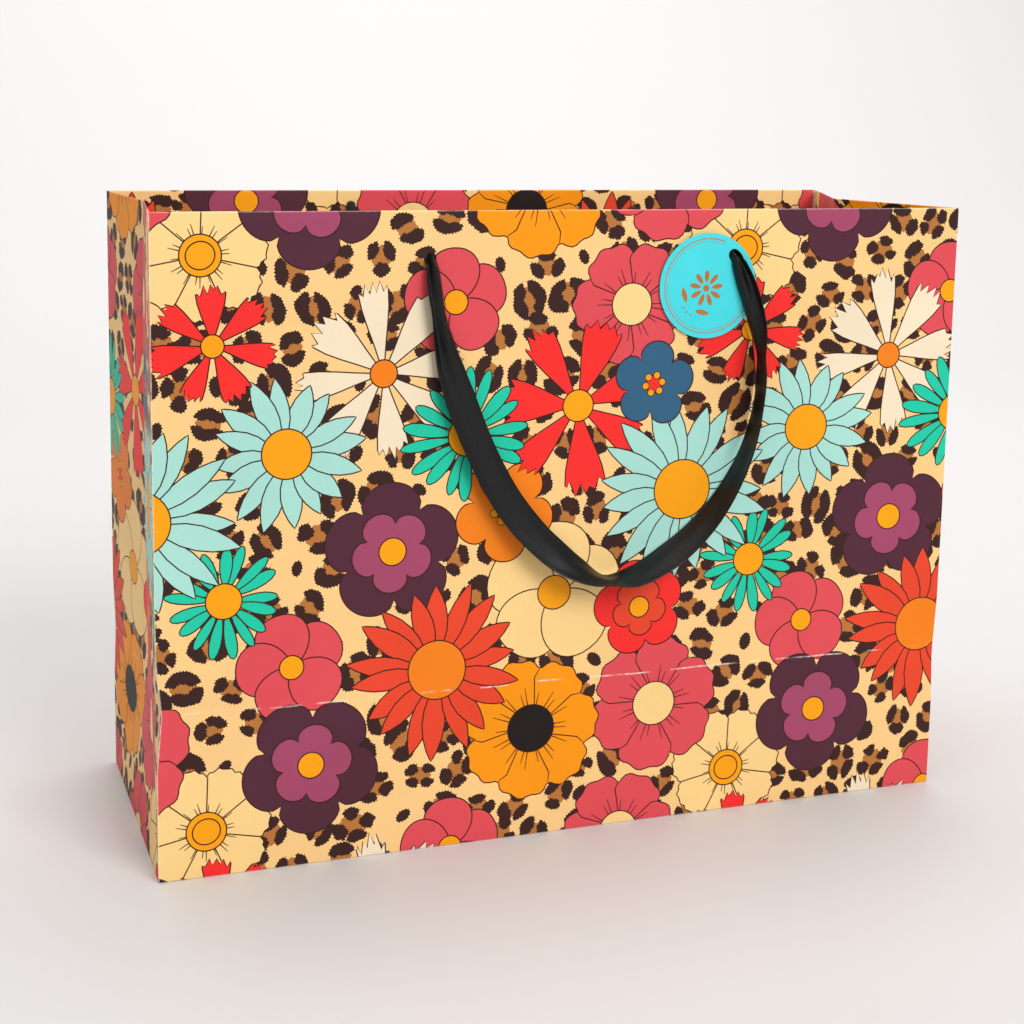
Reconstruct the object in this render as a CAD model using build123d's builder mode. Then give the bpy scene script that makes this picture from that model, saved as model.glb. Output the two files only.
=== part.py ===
"""Laminated paper gift bag with ribbon handles, a round hang tag and a loose base board.

Sizes are in millimetres. The origin is the middle of the base, on the surface that the bag stands
on. X runs along the width, the front panel faces -Y and Z is up.

The bag is folded from two printed sheets. Every panel between two creases is a thin plate of its
own, so each one can be given its own face, and the plates meet at the creases. The front and back
walls lean in a little, and the two sides are tucked in along their centre creases.
"""
import os
from math import cos, radians, sin, sqrt, tan

from build123d import *

# Overall size of the open bag
bag_width = 406.0
bag_depth = 152.0
bag_height = 305.0

# Papers and boards
paper = 0.3
stiffener_card = 0.8
base_card = 1.2

# Side gussets: how far the centre crease is pushed in at the rim
left_tuck = 8.0
right_tuck = 30.0
crease_gap = 0.15

# Rim: paper turned in over a strip of card
hem_depth = 40.0
stiffener_depth = 36.0
rim_end_clearance = 2.5
gusset_hem_inset = 0.5

# Glue tabs of the two vertical seams
tab_width = 15.0
tab_clearance = 1.0

# Bottom flaps
flap_overlap = 36.0
end_flap_length = 88.0
end_flap_corner = 14.0
flap_side_gap = 0.05
flap_end_gap = 0.8

# Loose base board
board_lift = 6.0
board_clearance = 0.5
board_corner = 3.0

# Handle holes
hole_spacing = 153.0
hole_drop = 22.0
hole_diameter = 6.0

# Ribbon handles
ribbon_width = 16.0
ribbon_thickness = 0.6
neck_diameter = 5.0
swing_gap = 0.3

# Plastic bars that hold the ribbon ends inside the bag
barb_length = 33.0
barb_width = 4.5
barb_thickness = 2.2
barb_head = 7.0
barb_edge_round = 0.5
barb_gap = 0.3
barb_tilts = {"front_left": -9.0, "front_right": 14.0, "back_left": 0.0, "back_right": 41.0}

# Hang tag, turned about the right front hole
tag_diameter = 51.0
tag_thickness = 0.5
tag_hole_diameter = 6.0
tag_hole_inset = 5.5
tag_turn = 42.0
tag_gap = 0.3

# Route of a handle's centreline, as places across and below the swing axis. It is chosen by hand:
# the loop hangs to the right of its holes' middle, with a tight turn at its lowest point.
handle_route = [
    (-76.5, 0.0),
    (-74.0, -21.0),
    (-69.5, -45.0),
    (-59.0, -69.0),
    (-46.5, -94.0),
    (-32.0, -120.5),
    (-10.0, -144.5),
    (18.0, -158.5),
    (48.0, -146.0),
    (73.0, -122.0),
    (89.5, -90.0),
    (96.0, -57.0),
    (90.5, -26.0),
    (76.5, 0.0),
]
arc_share = 0.45

# Values that follow from the sizes above
half_width = bag_width / 2
half_depth = bag_depth / 2
rim_layers = 2 * paper + stiffener_card
flap_stack = 3 * paper
hole_height = bag_height - hole_drop
hole_places = [(-hole_spacing / 2, hole_height), (hole_spacing / 2, hole_height)]
sides_in_x = {"left": -1, "right": 1}
sides_in_y = {"front": -1, "back": 1}
tucks = {"left": left_tuck, "right": right_tuck}


def narrowing(tuck):
    """How much a gusset half of the full depth draws the wall in when its crease is tucked."""
    return half_depth - sqrt(half_depth**2 - tuck**2)


top_lean = (narrowing(left_tuck) + narrowing(right_tuck)) / 2
wall_slope = top_lean / bag_height


def wall_y(height, layer):
    """Distance from the middle plane to a layer of the front or back wall, counted from outside."""
    return half_depth - wall_slope * height - layer


def crease_y(height):
    """Distance from the middle plane to the gusset's edge behind a wall."""
    return wall_y(height, paper) - crease_gap


def save(piece, name):
    """Label a finished piece and write it to the parts folder."""
    piece.part.label = name
    export_step(piece.part, f"parts/{name}.step")


def wall_plate(side, reach, profile, punched=False):
    """A plate of a leaning wall: (layer, height) corners drawn across it, run along X to reach."""
    corners = [(side * wall_y(height, layer), height) for layer, height in profile]
    with BuildPart() as plate:
        with BuildSketch(Plane.YZ):
            with BuildLine():
                Polyline(*corners, close=True)
            make_face()
        extrude(amount=reach, both=True)
        if punched:
            with BuildSketch(Plane.XZ):
                with Locations(*hole_places):
                    Circle(hole_diameter / 2)
            extrude(amount=-side * bag_depth, mode=Mode.SUBTRACT)
    return plate


def flat_plate(plane, corners, thickness):
    """A plate whose outline is given as points in space that lie on the plane."""
    local = [plane.to_local_coords(corner) for corner in corners]
    with BuildPart() as plate:
        with BuildSketch(plane):
            with BuildLine():
                Polyline(*[(point.X, point.Y) for point in local], close=True)
            make_face()
        extrude(amount=thickness)
    return plate


def flap(corners, level):
    """A bottom flap with its outline in X and Y, lying on the number of papers given by level."""
    with BuildPart() as plate:
        with BuildSketch(Plane.XY.offset(level * paper)):
            with BuildLine():
                Polyline(*corners, close=True)
            make_face()
        extrude(amount=paper)
    return plate


os.makedirs("parts", exist_ok=True)

# Front and back walls, their stiffeners and the hems that are turned in over them
hem_reach = half_width - rim_end_clearance
card_top = bag_height - paper
card_bottom = card_top - stiffener_depth
hem_bottom = bag_height - hem_depth
panel_profile = [(0, 0), (0, bag_height), (paper, bag_height), (paper, 0)]
card_profile = [
    (paper, card_bottom),
    (paper, card_top),
    (paper + stiffener_card, card_top),
    (paper + stiffener_card, card_bottom),
]
hem_profile = [
    (paper, card_top),
    (paper, bag_height),
    (rim_layers, bag_height),
    (rim_layers, hem_bottom),
    (rim_layers - paper, hem_bottom),
    (rim_layers - paper, card_top),
]
for wall, y_side in sides_in_y.items():
    save(wall_plate(y_side, half_width, panel_profile, punched=True), f"{wall}_panel")
    save(wall_plate(y_side, hem_reach, card_profile, punched=True), f"{wall}_stiffener")
    save(wall_plate(y_side, hem_reach, hem_profile, punched=True), f"{wall}_hem")

# Side gussets: a triangle that leans in from the base, and two halves above it that meet at the
# centre crease. All of them start one paper above the floor, where the end flap folds under.
for side, x_side in sides_in_x.items():
    tuck = tucks[side]
    peak_height = paper + sqrt(crease_y(0) ** 2 - tuck**2)
    peak_tuck = tuck * crease_y(peak_height) / crease_y(bag_height)
    peak = Vector(x_side * (half_width - peak_tuck), 0, peak_height)
    rim_middle = Vector(x_side * (half_width - tuck), 0, bag_height)
    feet = {}
    for wall, y_side in sides_in_y.items():
        foot = Vector(x_side * half_width, y_side * crease_y(paper), paper)
        rim_corner = Vector(x_side * half_width, y_side * crease_y(bag_height), bag_height)
        inward = (rim_corner - foot).cross(rim_middle - foot) * (-x_side * y_side)
        half_plane = Plane(origin=foot, x_dir=rim_corner - foot, z_dir=inward)
        half = flat_plate(half_plane, [foot, rim_corner, rim_middle, peak], paper)
        save(half, f"{side}_gusset_{wall}")

        inset = (rim_middle - rim_corner).normalized() * gusset_hem_inset
        down_the_edge = (foot - rim_corner).normalized() * hem_depth
        down_the_middle = (peak - rim_middle).normalized() * hem_depth
        hem_corners = [
            rim_corner + inset,
            rim_middle,
            rim_middle + down_the_middle,
            rim_corner + inset + down_the_edge,
        ]
        hem = flat_plate(half_plane.offset(paper), hem_corners, paper)
        save(hem, f"{side}_gusset_{wall}_hem")
        feet[wall] = foot
    base_edge = feet["back"] - feet["front"]
    inward = base_edge.cross(peak - feet["front"]) * x_side
    base_plane = Plane(origin=feet["front"], x_dir=base_edge, z_dir=inward * -1)
    triangle = flat_plate(base_plane, [feet["front"], feet["back"], peak], paper)
    save(triangle, f"{side}_gusset_base")

# Glue tabs: the left gusset's sheet is glued behind the front wall, the right one's behind the back
for wall, side in (("front", "left"), ("back", "right")):
    tab_inner = half_width - tab_clearance - tab_width
    tab_low = flap_stack + tab_clearance
    tab_high = hem_bottom - tab_clearance
    tab_corners = [
        (sides_in_y[wall] * wall_y(height, layer), height)
        for layer, height in ((paper, tab_low), (paper, tab_high), (2 * paper, tab_high), (2 * paper, tab_low))
    ]
    start = tab_inner if side == "right" else -tab_inner - tab_width
    with BuildPart() as tab:
        with BuildSketch(Plane.YZ.offset(start)):
            with BuildLine():
                Polyline(*tab_corners, close=True)
            make_face()
        extrude(amount=tab_width)
    save(tab, f"{wall}_glue_tab")

# Bottom: the front flap lies under the back flap, and the two end flaps lie on top of both
flap_x = half_width - flap_end_gap
flap_y = half_depth - paper - flap_side_gap
for wall, level in (("front", 0), ("back", 1)):
    y_side = sides_in_y[wall]
    near, far = y_side * flap_y, -y_side * flap_overlap / 2
    outline = [(-flap_x, near), (flap_x, near), (flap_x, far), (-flap_x, far)]
    save(flap(outline, level), f"{wall}_bottom_flap")
for side, x_side in sides_in_x.items():
    outer, inner = x_side * flap_x, x_side * (flap_x - end_flap_length)
    end_y = flap_y - flap_end_gap
    outline = [
        (outer, -end_y),
        (outer, end_y),
        (inner, end_y - end_flap_corner),
        (inner, -end_y + end_flap_corner),
    ]
    save(flap(outline, 2), f"{side}_bottom_flap")

# Base board: it lies loose on the flaps and is short enough to lift a little between the gussets
steepest_tuck = max(left_tuck, right_tuck)
gusset_slope = steepest_tuck / sqrt(crease_y(0) ** 2 - steepest_tuck**2)
board_reach = (flap_stack + base_card + board_lift) * gusset_slope
board_x = half_width - board_reach - 2 * paper - board_clearance
board_y = wall_y(flap_stack + base_card + board_lift, 2 * paper) - board_clearance
with BuildPart() as base_board:
    with BuildSketch(Plane.XY.offset(flap_stack)):
        RectangleRounded(2 * board_x, 2 * board_y, board_corner)
    extrude(amount=base_card)
save(base_board, "base_board")

# Where the ribbon, tag and barbs lie in front of and behind the wall at the holes
tag_reach = tag_diameter - tag_hole_inset
tag_back = wall_y(hole_height, 0) + tag_gap + wall_slope * tag_reach
tag_front = tag_back + tag_thickness
swing_y = tag_front + swing_gap + ribbon_thickness / 2
barb_face = wall_y(hole_height, rim_layers) - barb_gap - wall_slope * barb_length / 2

# Ribbon handles: a flat band in a plane along the wall, cut off straight at its swing axis
turns = []
for before, corner, after in zip(handle_route, handle_route[1:], handle_route[2:]):
    run_in = Vector(*corner) - Vector(*before)
    run_out = Vector(*after) - Vector(*corner)
    half_turn = radians(run_in.get_angle(run_out)) / 2
    turns.append(arc_share * min(run_in.length, run_out.length) / tan(half_turn))
print("handle arc radii:", [round(radius, 1) for radius in turns])

for wall, y_side in sides_in_y.items():
    outward = Vector(0, y_side, wall_slope)
    hang_plane = Plane(
        origin=(0, y_side * swing_y, hole_height), x_dir=(-y_side, 0, 0), z_dir=outward
    )
    with BuildPart() as ribbon:
        with BuildSketch(hang_plane):
            with BuildLine() as centreline:
                FilletPolyline(*handle_route, radius=turns)
            trace(line_width=ribbon_width)
            with Locations((0, ribbon_width / 2)):
                Rectangle(bag_width, ribbon_width, mode=Mode.SUBTRACT)
        extrude(amount=ribbon_thickness / 2, both=True)
    if wall == "front":
        print("handle length:", round(centreline.wires()[0].length, 1))
        print("band volume share:", round(
            ribbon.part.volume / (centreline.wires()[0].length * ribbon_width * ribbon_thickness), 3
        ))
    save(ribbon, f"{wall}_ribbon")

    # The gathered ends of the ribbon, which pass through the two holes to their barbs
    with BuildPart() as necks:
        with BuildSketch(Plane.XZ.offset(-y_side * barb_face)):
            with Locations(*hole_places):
                Circle(neck_diameter / 2)
        extrude(amount=-y_side * (tag_front - barb_face))
    save(necks, f"{wall}_ribbon_ends")

    # Barbs: flat bars with a round head in the middle, each free to turn about its hole
    for (hole_x, hole_z), side in zip(hole_places, sides_in_x):
        name = f"{wall}_{side}"
        with BuildPart() as barb:
            with BuildSketch(Plane.XZ.offset(-y_side * barb_face)):
                with Locations((hole_x, hole_z)):
                    SlotOverall(barb_length, barb_width, rotation=90 - barb_tilts[name])
                    Circle(barb_head / 2)
            extrude(amount=y_side * barb_thickness)
            inner_face = barb.faces().sort_by(Axis.Y)[0 if y_side > 0 else -1]
            fillet(inner_face.edges(), radius=barb_edge_round)
        save(barb, f"{name}_barb")

# Hang tag: a card disc threaded on the right front end of the ribbon
tag_arm = tag_diameter / 2 - tag_hole_inset
tag_x = hole_places[1][0] - tag_arm * sin(radians(tag_turn))
tag_z = hole_places[1][1] - tag_arm * cos(radians(tag_turn))
with BuildPart() as hang_tag:
    with BuildSketch(Plane.XZ.offset(tag_back)):
        with Locations((tag_x, tag_z)):
            Circle(tag_diameter / 2)
        with Locations(hole_places[1]):
            Circle(tag_hole_diameter / 2, mode=Mode.SUBTRACT)
    extrude(amount=tag_thickness)
save(hang_tag, "hang_tag")
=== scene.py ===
"""Looks of a laminated paper gift bag with satin ribbon handles, a round hang tag and a base board.

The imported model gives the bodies, joints and fixed sizes. This file draws the printed pattern on
the two flat sheets of paper, folds them into the bag, ties on the ribbons and the tag, and sets a
plain studio round it. Flat sizes are in millimetres until a mesh is made, and in metres after.
"""
import logging
from dataclasses import dataclass, replace
from enum import Enum
from math import cos, pi, radians, sin, sqrt
from typing import Any, Iterable, Optional, Union

import bpy
import numpy as np
from mathutils import Matrix, Vector
from mathutils.geometry import delaunay_2d_cdt


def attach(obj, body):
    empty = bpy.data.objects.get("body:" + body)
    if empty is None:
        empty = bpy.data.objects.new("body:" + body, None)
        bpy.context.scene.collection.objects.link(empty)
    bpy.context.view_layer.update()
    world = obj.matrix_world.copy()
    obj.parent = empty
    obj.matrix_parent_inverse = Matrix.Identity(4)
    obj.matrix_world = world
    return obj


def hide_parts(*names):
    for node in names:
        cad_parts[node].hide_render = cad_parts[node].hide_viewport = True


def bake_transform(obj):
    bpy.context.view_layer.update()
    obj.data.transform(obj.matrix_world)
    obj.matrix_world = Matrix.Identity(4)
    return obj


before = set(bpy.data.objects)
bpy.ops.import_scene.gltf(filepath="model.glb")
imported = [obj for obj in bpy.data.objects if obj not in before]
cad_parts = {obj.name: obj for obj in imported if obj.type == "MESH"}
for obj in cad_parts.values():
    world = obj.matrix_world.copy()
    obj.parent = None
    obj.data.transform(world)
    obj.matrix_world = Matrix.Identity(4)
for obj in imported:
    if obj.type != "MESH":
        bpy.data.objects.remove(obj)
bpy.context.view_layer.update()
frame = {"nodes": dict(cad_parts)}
log = logging.getLogger("gift_bag")

MM = 0.001
Points = np.ndarray
Pair = tuple[float, float]
Line = tuple[Pair, Pair]
Source = Union[bpy.types.Node, bpy.types.NodeSocket]


# --- Colour and shader helpers ---


def linear(code: str) -> tuple[float, float, float, float]:
    """Turn an sRGB hex colour into the linear colour that shaders take.

    Args:
        code: Colour as "#rrggbb".

    Returns:
        Red, green, blue and alpha in linear light.
    """
    parts = [int(code[place:place + 2], 16) / 255 for place in (1, 3, 5)]
    red, green, blue = (
        part / 12.92 if part <= 0.04045 else ((part + 0.055) / 1.055) ** 2.4 for part in parts
    )
    return (red, green, blue, 1.0)


def join(tree: bpy.types.NodeTree, node: bpy.types.Node, links: dict[Any, Source]) -> None:
    """Link a node's inputs to what feeds them.

    Args:
        tree: Node tree that holds the node.
        node: Node that is fed.
        links: Input name or number, and an output socket, or a node that feeds it from its first.
    """
    for name, source in links.items():
        socket = source.outputs[0] if isinstance(source, bpy.types.Node) else source
        tree.links.new(socket, node.inputs[name])


def add_node(
    tree: bpy.types.NodeTree,
    kind: str,
    settings: Optional[dict[str, Any]] = None,
    values: Optional[dict[Any, Any]] = None,
    links: Optional[dict[Any, Source]] = None,
) -> bpy.types.Node:
    """Add a node to a tree, with its settings, unlinked values and incoming links.

    Args:
        tree: Node tree of a material.
        kind: Node type after "ShaderNode", such as "Math".
        settings: Attributes of the node itself.
        values: Input name or number, and the value that it holds.
        links: Input name or number, and what feeds it.

    Returns:
        The new node.
    """
    node = tree.nodes.new("ShaderNode" + kind)
    for name, value in (settings or {}).items():
        setattr(node, name, value)
    for name, value in (values or {}).items():
        node.inputs[name].default_value = value
    join(tree, node, links or {})
    return node


def new_material(
    name: str, values: dict[str, Any]
) -> tuple[bpy.types.Material, bpy.types.NodeTree, bpy.types.Node]:
    """Make a material that holds only a Principled shader joined to its output.

    Args:
        name: Name of the material.
        values: The shader's own values, by input name.

    Returns:
        The material, its node tree and the Principled node.
    """
    material = bpy.data.materials.new(name)
    material.use_nodes = True
    tree = material.node_tree
    tree.nodes.clear()
    shader = add_node(tree, "BsdfPrincipled", values=values)
    add_node(tree, "OutputMaterial", links={"Surface": shader})
    return material, tree, shader


# --- Inks of the print ---


class Ink(Enum):
    """Printed colours of the paper."""

    GROUND = "#F8CB88"
    SPOT_DARK = "#3A221E"
    SPOT_BROWN = "#B67439"
    LINE = "#3A1E1A"
    RED = "#F5302C"
    VERMILION = "#E5472B"
    ROSE = "#DE4E56"
    CREAM = "#F9D28C"
    YOLK = "#F9A212"
    MARIGOLD = "#F7960F"
    ORANGE = "#F1801A"
    AQUA = "#A8DCCF"
    TEAL = "#20C8A4"
    PLUM = "#522A38"
    MAUVE = "#A24868"
    BLUE = "#34617F"
    BONE = "#F1DFC0"
    COAL = "#1F1817"


# --- Outlines in the plane ---


def unit(vectors: Points) -> Points:
    """Vectors of length one, in the same directions."""
    return vectors / np.maximum(np.linalg.norm(vectors, axis=-1, keepdims=True), 1e-9)


def run_along(points: Points) -> Points:
    """Distance from the first point to each one, along the line through them."""
    steps = np.linalg.norm(np.diff(points, axis=0), axis=1)
    return np.concatenate([[0.0], np.cumsum(steps)])


def grow(outline: Points, distance: float) -> Points:
    """Move each point of a closed outline along its own outward direction.

    Args:
        outline: Corners of the outline, anticlockwise.
        distance: How far, in millimetres; a negative distance shrinks the outline.

    Returns:
        The moved corners.
    """
    along = unit(np.roll(outline, -1, axis=0) - np.roll(outline, 1, axis=0))
    return outline + distance * np.stack([along[:, 1], -along[:, 0]], axis=1)


def placed(outline: Points, centre: Pair, turn: float) -> Points:
    """Turn an outline about the origin and carry it to its centre.

    Args:
        outline: Corners round the origin.
        centre: Where the origin goes.
        turn: Anticlockwise turn in radians.

    Returns:
        The moved corners.
    """
    c, s = cos(turn), sin(turn)
    return outline @ np.array([[c, s], [-s, c]]) + np.array(centre)


def arc(radius: Any, angle: Points) -> Points:
    """Points about the origin at one radius, or at a radius for each angle."""
    return np.stack([radius * np.cos(angle), radius * np.sin(angle)], axis=1)


def disc(radius: float, corners: int = 28, squash: float = 1.0) -> Points:
    """Outline of a round or slightly oval disc about the origin."""
    angle = np.linspace(0, 2 * pi, corners, endpoint=False)
    return np.stack([radius * np.cos(angle), radius * squash * np.sin(angle)], axis=1)


def petal(
    start: float, length: float, width: float, belly: float, point: float, steps: int = 9
) -> Points:
    """Outline of one petal that grows along X.

    Args:
        start: Distance from the flower's centre to the petal's root.
        length: Length of the petal.
        width: Width at its widest place.
        belly: Power that sets how quickly it widens; a larger one is narrower at the root.
        point: Power that sets how it ends; 0.5 is round and 1 is pointed.
        steps: Number of places along each side.

    Returns:
        Corners, anticlockwise.
    """
    share = 0.5 - 0.5 * np.cos(np.linspace(0, pi, steps))
    half = share**belly * (1 - share) ** point
    half *= width / 2 / half.max()
    x = start + length * share
    lower = np.stack([x, -half], axis=1)
    upper = np.stack([x[-2:0:-1], half[-2:0:-1]], axis=1)
    return np.concatenate([lower, upper])


def torn_petal(
    start: float, reach: float, breadth: float, teeth: int, rng: np.random.Generator
) -> Points:
    """Outline of a petal along X that widens steadily and ends in a row of torn teeth.

    Args:
        start: Distance from the flower's centre to the root.
        reach: Radius that the teeth reach.
        breadth: Half the width of the petal at its end.
        teeth: Number of teeth.
        rng: Source of the uneven tooth lengths.

    Returns:
        Corners, anticlockwise.
    """
    widening = ((0.32, 0.42), (0.5, 0.68), (0.68, 0.9), (0.84, 1.0))
    side = [(start, 0.1)] + [(share * reach, part) for share, part in widening]
    corners = [(along, -breadth * part) for along, part in side]
    for step in range(2 * teeth - 1):
        part = 0.96 * (2 * step / (2 * teeth - 2) - 1)
        arch = 1 - 0.11 * part**2
        shortest, longest = (0.94, 1.01) if step % 2 == 0 else (0.83, 0.91)
        along = reach * arch * rng.uniform(shortest, longest)
        corners.append((along, breadth * (part + rng.uniform(-0.05, 0.05))))
    corners += [(along, breadth * part) for along, part in side[::-1]]
    return np.array(corners)


def lobed(radius: float, lobes: int, depth: float, ruffle: float, corners: int = 90) -> Points:
    """Outline of a whole flower whose edge swells into lobes.

    Args:
        radius: Radius at the top of a lobe.
        lobes: Number of lobes.
        depth: Share of the radius lost in the notch between two lobes.
        ruffle: Share of the radius that a finer wave adds and takes away.
        corners: Number of corners round the outline.

    Returns:
        Corners, anticlockwise.
    """
    angle = np.linspace(0, 2 * pi, corners, endpoint=False)
    swell = np.abs(np.cos(lobes * angle / 2)) ** 0.55
    wave = ruffle * np.cos(3 * lobes * angle + 0.9 * np.sin(2 * angle))
    radii = radius * (1 - depth + depth * swell + wave)
    return arc(radii, angle)


# --- Flowers and spots of the print ---


class Bloom(Enum):
    """Ways that a flower of the print is drawn."""

    POINTED_RAYS = "pointed rays"
    ROUND_RAYS = "round rays"
    TORN_RAYS = "torn rays"
    FIVE_ROUND = "five round petals"
    SCALLOPED = "scalloped petals"
    RUFFLED = "ruffled edge"
    TWO_TIERED = "two tiers"
    STAMENS = "petals with stamens"


@dataclass(frozen=True)
class Flower:
    """One flower of the repeat: where it is, how large, how it is drawn and in which inks."""

    x: float
    y: float
    radius: float
    bloom: Bloom
    ink: Ink
    heart: Ink
    petals: int
    heart_share: float
    turn: float = 0.0
    second: Ink = Ink.YOLK

    def solid_radius(self) -> float:
        """Radius inside which no ground shows between the petals."""
        share = {Bloom.TORN_RAYS: 0.3, Bloom.ROUND_RAYS: 0.55, Bloom.POINTED_RAYS: 0.72}
        return self.radius * share.get(self.bloom, 0.84)


class PrintedPattern:
    """Fills of the print in the order that they are laid down, so that a later one covers."""

    line_width = 0.62
    repeat = 264.0
    spot_spacing = 20.0
    spot_row_share = 0.88
    spot_jitter = 2.8
    lone_spot_share = 0.1
    # How far a spot's centre may lie under a flower and still be drawn.
    spot_overlap = 6

    flowers = (
        Flower(-181, 22, 30, Bloom.SCALLOPED, Ink.CREAM, Ink.YOLK, 7, 0.31, 12),
        Flower(-64, 263, 25, Bloom.FIVE_ROUND, Ink.ROSE, Ink.YOLK, 5, 0.23, 22),
        Flower(42, 60, 34, Bloom.RUFFLED, Ink.ROSE, Ink.CREAM, 6, 0.33, 20),
        Flower(24, 260, 30, Bloom.RUFFLED, Ink.ROSE, Ink.CREAM, 6, 0.34, 0),
        Flower(-12, 121, 35, Bloom.FIVE_ROUND, Ink.CREAM, Ink.YOLK, 5, 0.24, 15),
        Flower(-93, 147, 33, Bloom.TWO_TIERED, Ink.PLUM, Ink.YOLK, 5, 0.2, 20, Ink.MAUVE),
        Flower(-98, 231, 43, Bloom.TORN_RAYS, Ink.BONE, Ink.ORANGE, 8, 0.15, 8),
        Flower(-23, 54, 35, Bloom.RUFFLED, Ink.MARIGOLD, Ink.COAL, 7, 0.34, 5),
        Flower(33, 110, 24, Bloom.TWO_TIERED, Ink.RED, Ink.YOLK, 5, 0.22, 30, Ink.VERMILION),
        Flower(-38, 163, 25, Bloom.STAMENS, Ink.ORANGE, Ink.RED, 5, 0.17, 55),
        Flower(-141, 96, 26, Bloom.FIVE_ROUND, Ink.ROSE, Ink.YOLK, 5, 0.22, 35),
        Flower(-132, 48, 33, Bloom.TWO_TIERED, Ink.PLUM, Ink.YOLK, 5, 0.19, 52, Ink.MAUVE),
        Flower(-172, 130, 26, Bloom.ROUND_RAYS, Ink.TEAL, Ink.YOLK, 17, 0.32, 4),
        Flower(-143, 196, 35, Bloom.POINTED_RAYS, Ink.AQUA, Ink.YOLK, 16, 0.33, 6),
        Flower(-2, 212, 43, Bloom.TORN_RAYS, Ink.RED, Ink.YOLK, 7, 0.18, 20),
        Flower(-71, 88, 42, Bloom.POINTED_RAYS, Ink.VERMILION, Ink.ORANGE, 18, 0.34, 9),
        Flower(54, 168, 45, Bloom.POINTED_RAYS, Ink.AQUA, Ink.YOLK, 19, 0.33, 0),
        Flower(-57, 200, 31, Bloom.ROUND_RAYS, Ink.TEAL, Ink.YOLK, 18, 0.31, 10),
        Flower(-176, 246, 29, Bloom.TORN_RAYS, Ink.RED, Ink.YOLK, 7, 0.18, 40),
        Flower(37, 221, 21, Bloom.STAMENS, Ink.BLUE, Ink.RED, 5, 0.2, 12),
    )

    def __init__(self, low: Points, high: Points, seed: int) -> None:
        """Draw the pattern over a rectangle of flat paper.

        Args:
            low: Lowest corner of the rectangle.
            high: Highest corner of the rectangle.
            seed: Seed of the uneven spots.
        """
        self.low, self.high = low, high
        self.rng = np.random.default_rng(seed)
        self.outlines: list[Points] = []
        self.inks: list[Ink] = []
        self.blooms = self._repeats()
        self._draw_spots()
        for flower in self.blooms:
            self._draw_flower(flower)

    def _fill(self, outline: Points, ink: Ink) -> None:
        """Lay down one fill, if any of it is on the paper."""
        if np.all(outline.max(axis=0) > self.low) and np.all(outline.min(axis=0) < self.high):
            self.outlines.append(outline)
            self.inks.append(ink)

    def _outlined(self, outline: Points, ink: Ink, line: float = 0.0) -> None:
        """Lay down a fill with a dark line round it."""
        half = (line or self.line_width) / 2
        self._fill(grow(outline, half), Ink.LINE)
        self._fill(grow(outline, -half), ink)

    def _repeats(self) -> list[Flower]:
        """Every copy of the repeat's flowers that reaches the paper, in the order of the repeat."""
        found = []
        for flower in self.flowers:
            low, high = self.low - flower.radius, self.high + flower.radius
            for column in range(-2, 4):
                for row in range(-2, 3):
                    x = flower.x + column * self.repeat
                    y = flower.y + row * self.repeat
                    if low[0] < x < high[0] and low[1] < y < high[1]:
                        found.append(replace(flower, x=x, y=y))
        return found

    def _draw_spots(self) -> None:
        """Leopard rosettes on an uneven grid, left out where a flower covers them."""
        centres = np.array([(flower.x, flower.y) for flower in self.blooms])
        cover = np.array([flower.solid_radius() - self.spot_overlap for flower in self.blooms])
        pitch = np.array([self.spot_spacing, self.spot_spacing * self.spot_row_share])
        first = (self.low / pitch).astype(int) - 1
        last = (self.high / pitch).astype(int) + 2
        for row in range(first[1], last[1]):
            for column in range(first[0], last[0]):
                jitter = self.rng.uniform(-self.spot_jitter, self.spot_jitter, 2)
                shift = 0.5 * (row % 2)
                centre = np.array([(column + shift) * pitch[0], row * pitch[1]]) + jitter
                size = self.rng.uniform(0.85, 1.12)
                kind = self.rng.uniform()
                turn = self.rng.uniform(0, 2 * pi)
                if np.any(np.linalg.norm(centres - centre, axis=1) < cover):
                    continue
                draw = self._draw_lone_spot if kind < self.lone_spot_share else self._draw_rosette
                draw(centre, size, turn)

    def _furred(self, outline: Points, pitch: float = 0.8, depth: float = 0.42) -> Points:
        """Step round a closed outline and give every other step a short tooth, as fur has."""
        closed = np.concatenate([outline, outline[:1]])
        run = run_along(closed)
        count = 2 * max(4, int(round(run[-1] / pitch / 2)))
        steps = np.linspace(0, run[-1], count, endpoint=False)
        even = np.stack([np.interp(steps, run, closed[:, k]) for k in range(2)], axis=1)
        tooth = np.where(np.arange(count) % 2 == 0, 1.0, -1.0) * self.rng.uniform(0.3, 1.1, count)
        return even + (grow(even, depth) - even) * tooth[:, None]

    def _draw_lone_spot(self, centre: Points, size: float, turn: float) -> None:
        """A plain dark spot between rosettes."""
        outline = self._furred(disc(4.2 * size, 16, 0.66))
        self._fill(placed(outline, tuple(centre), turn), Ink.SPOT_DARK)

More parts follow.
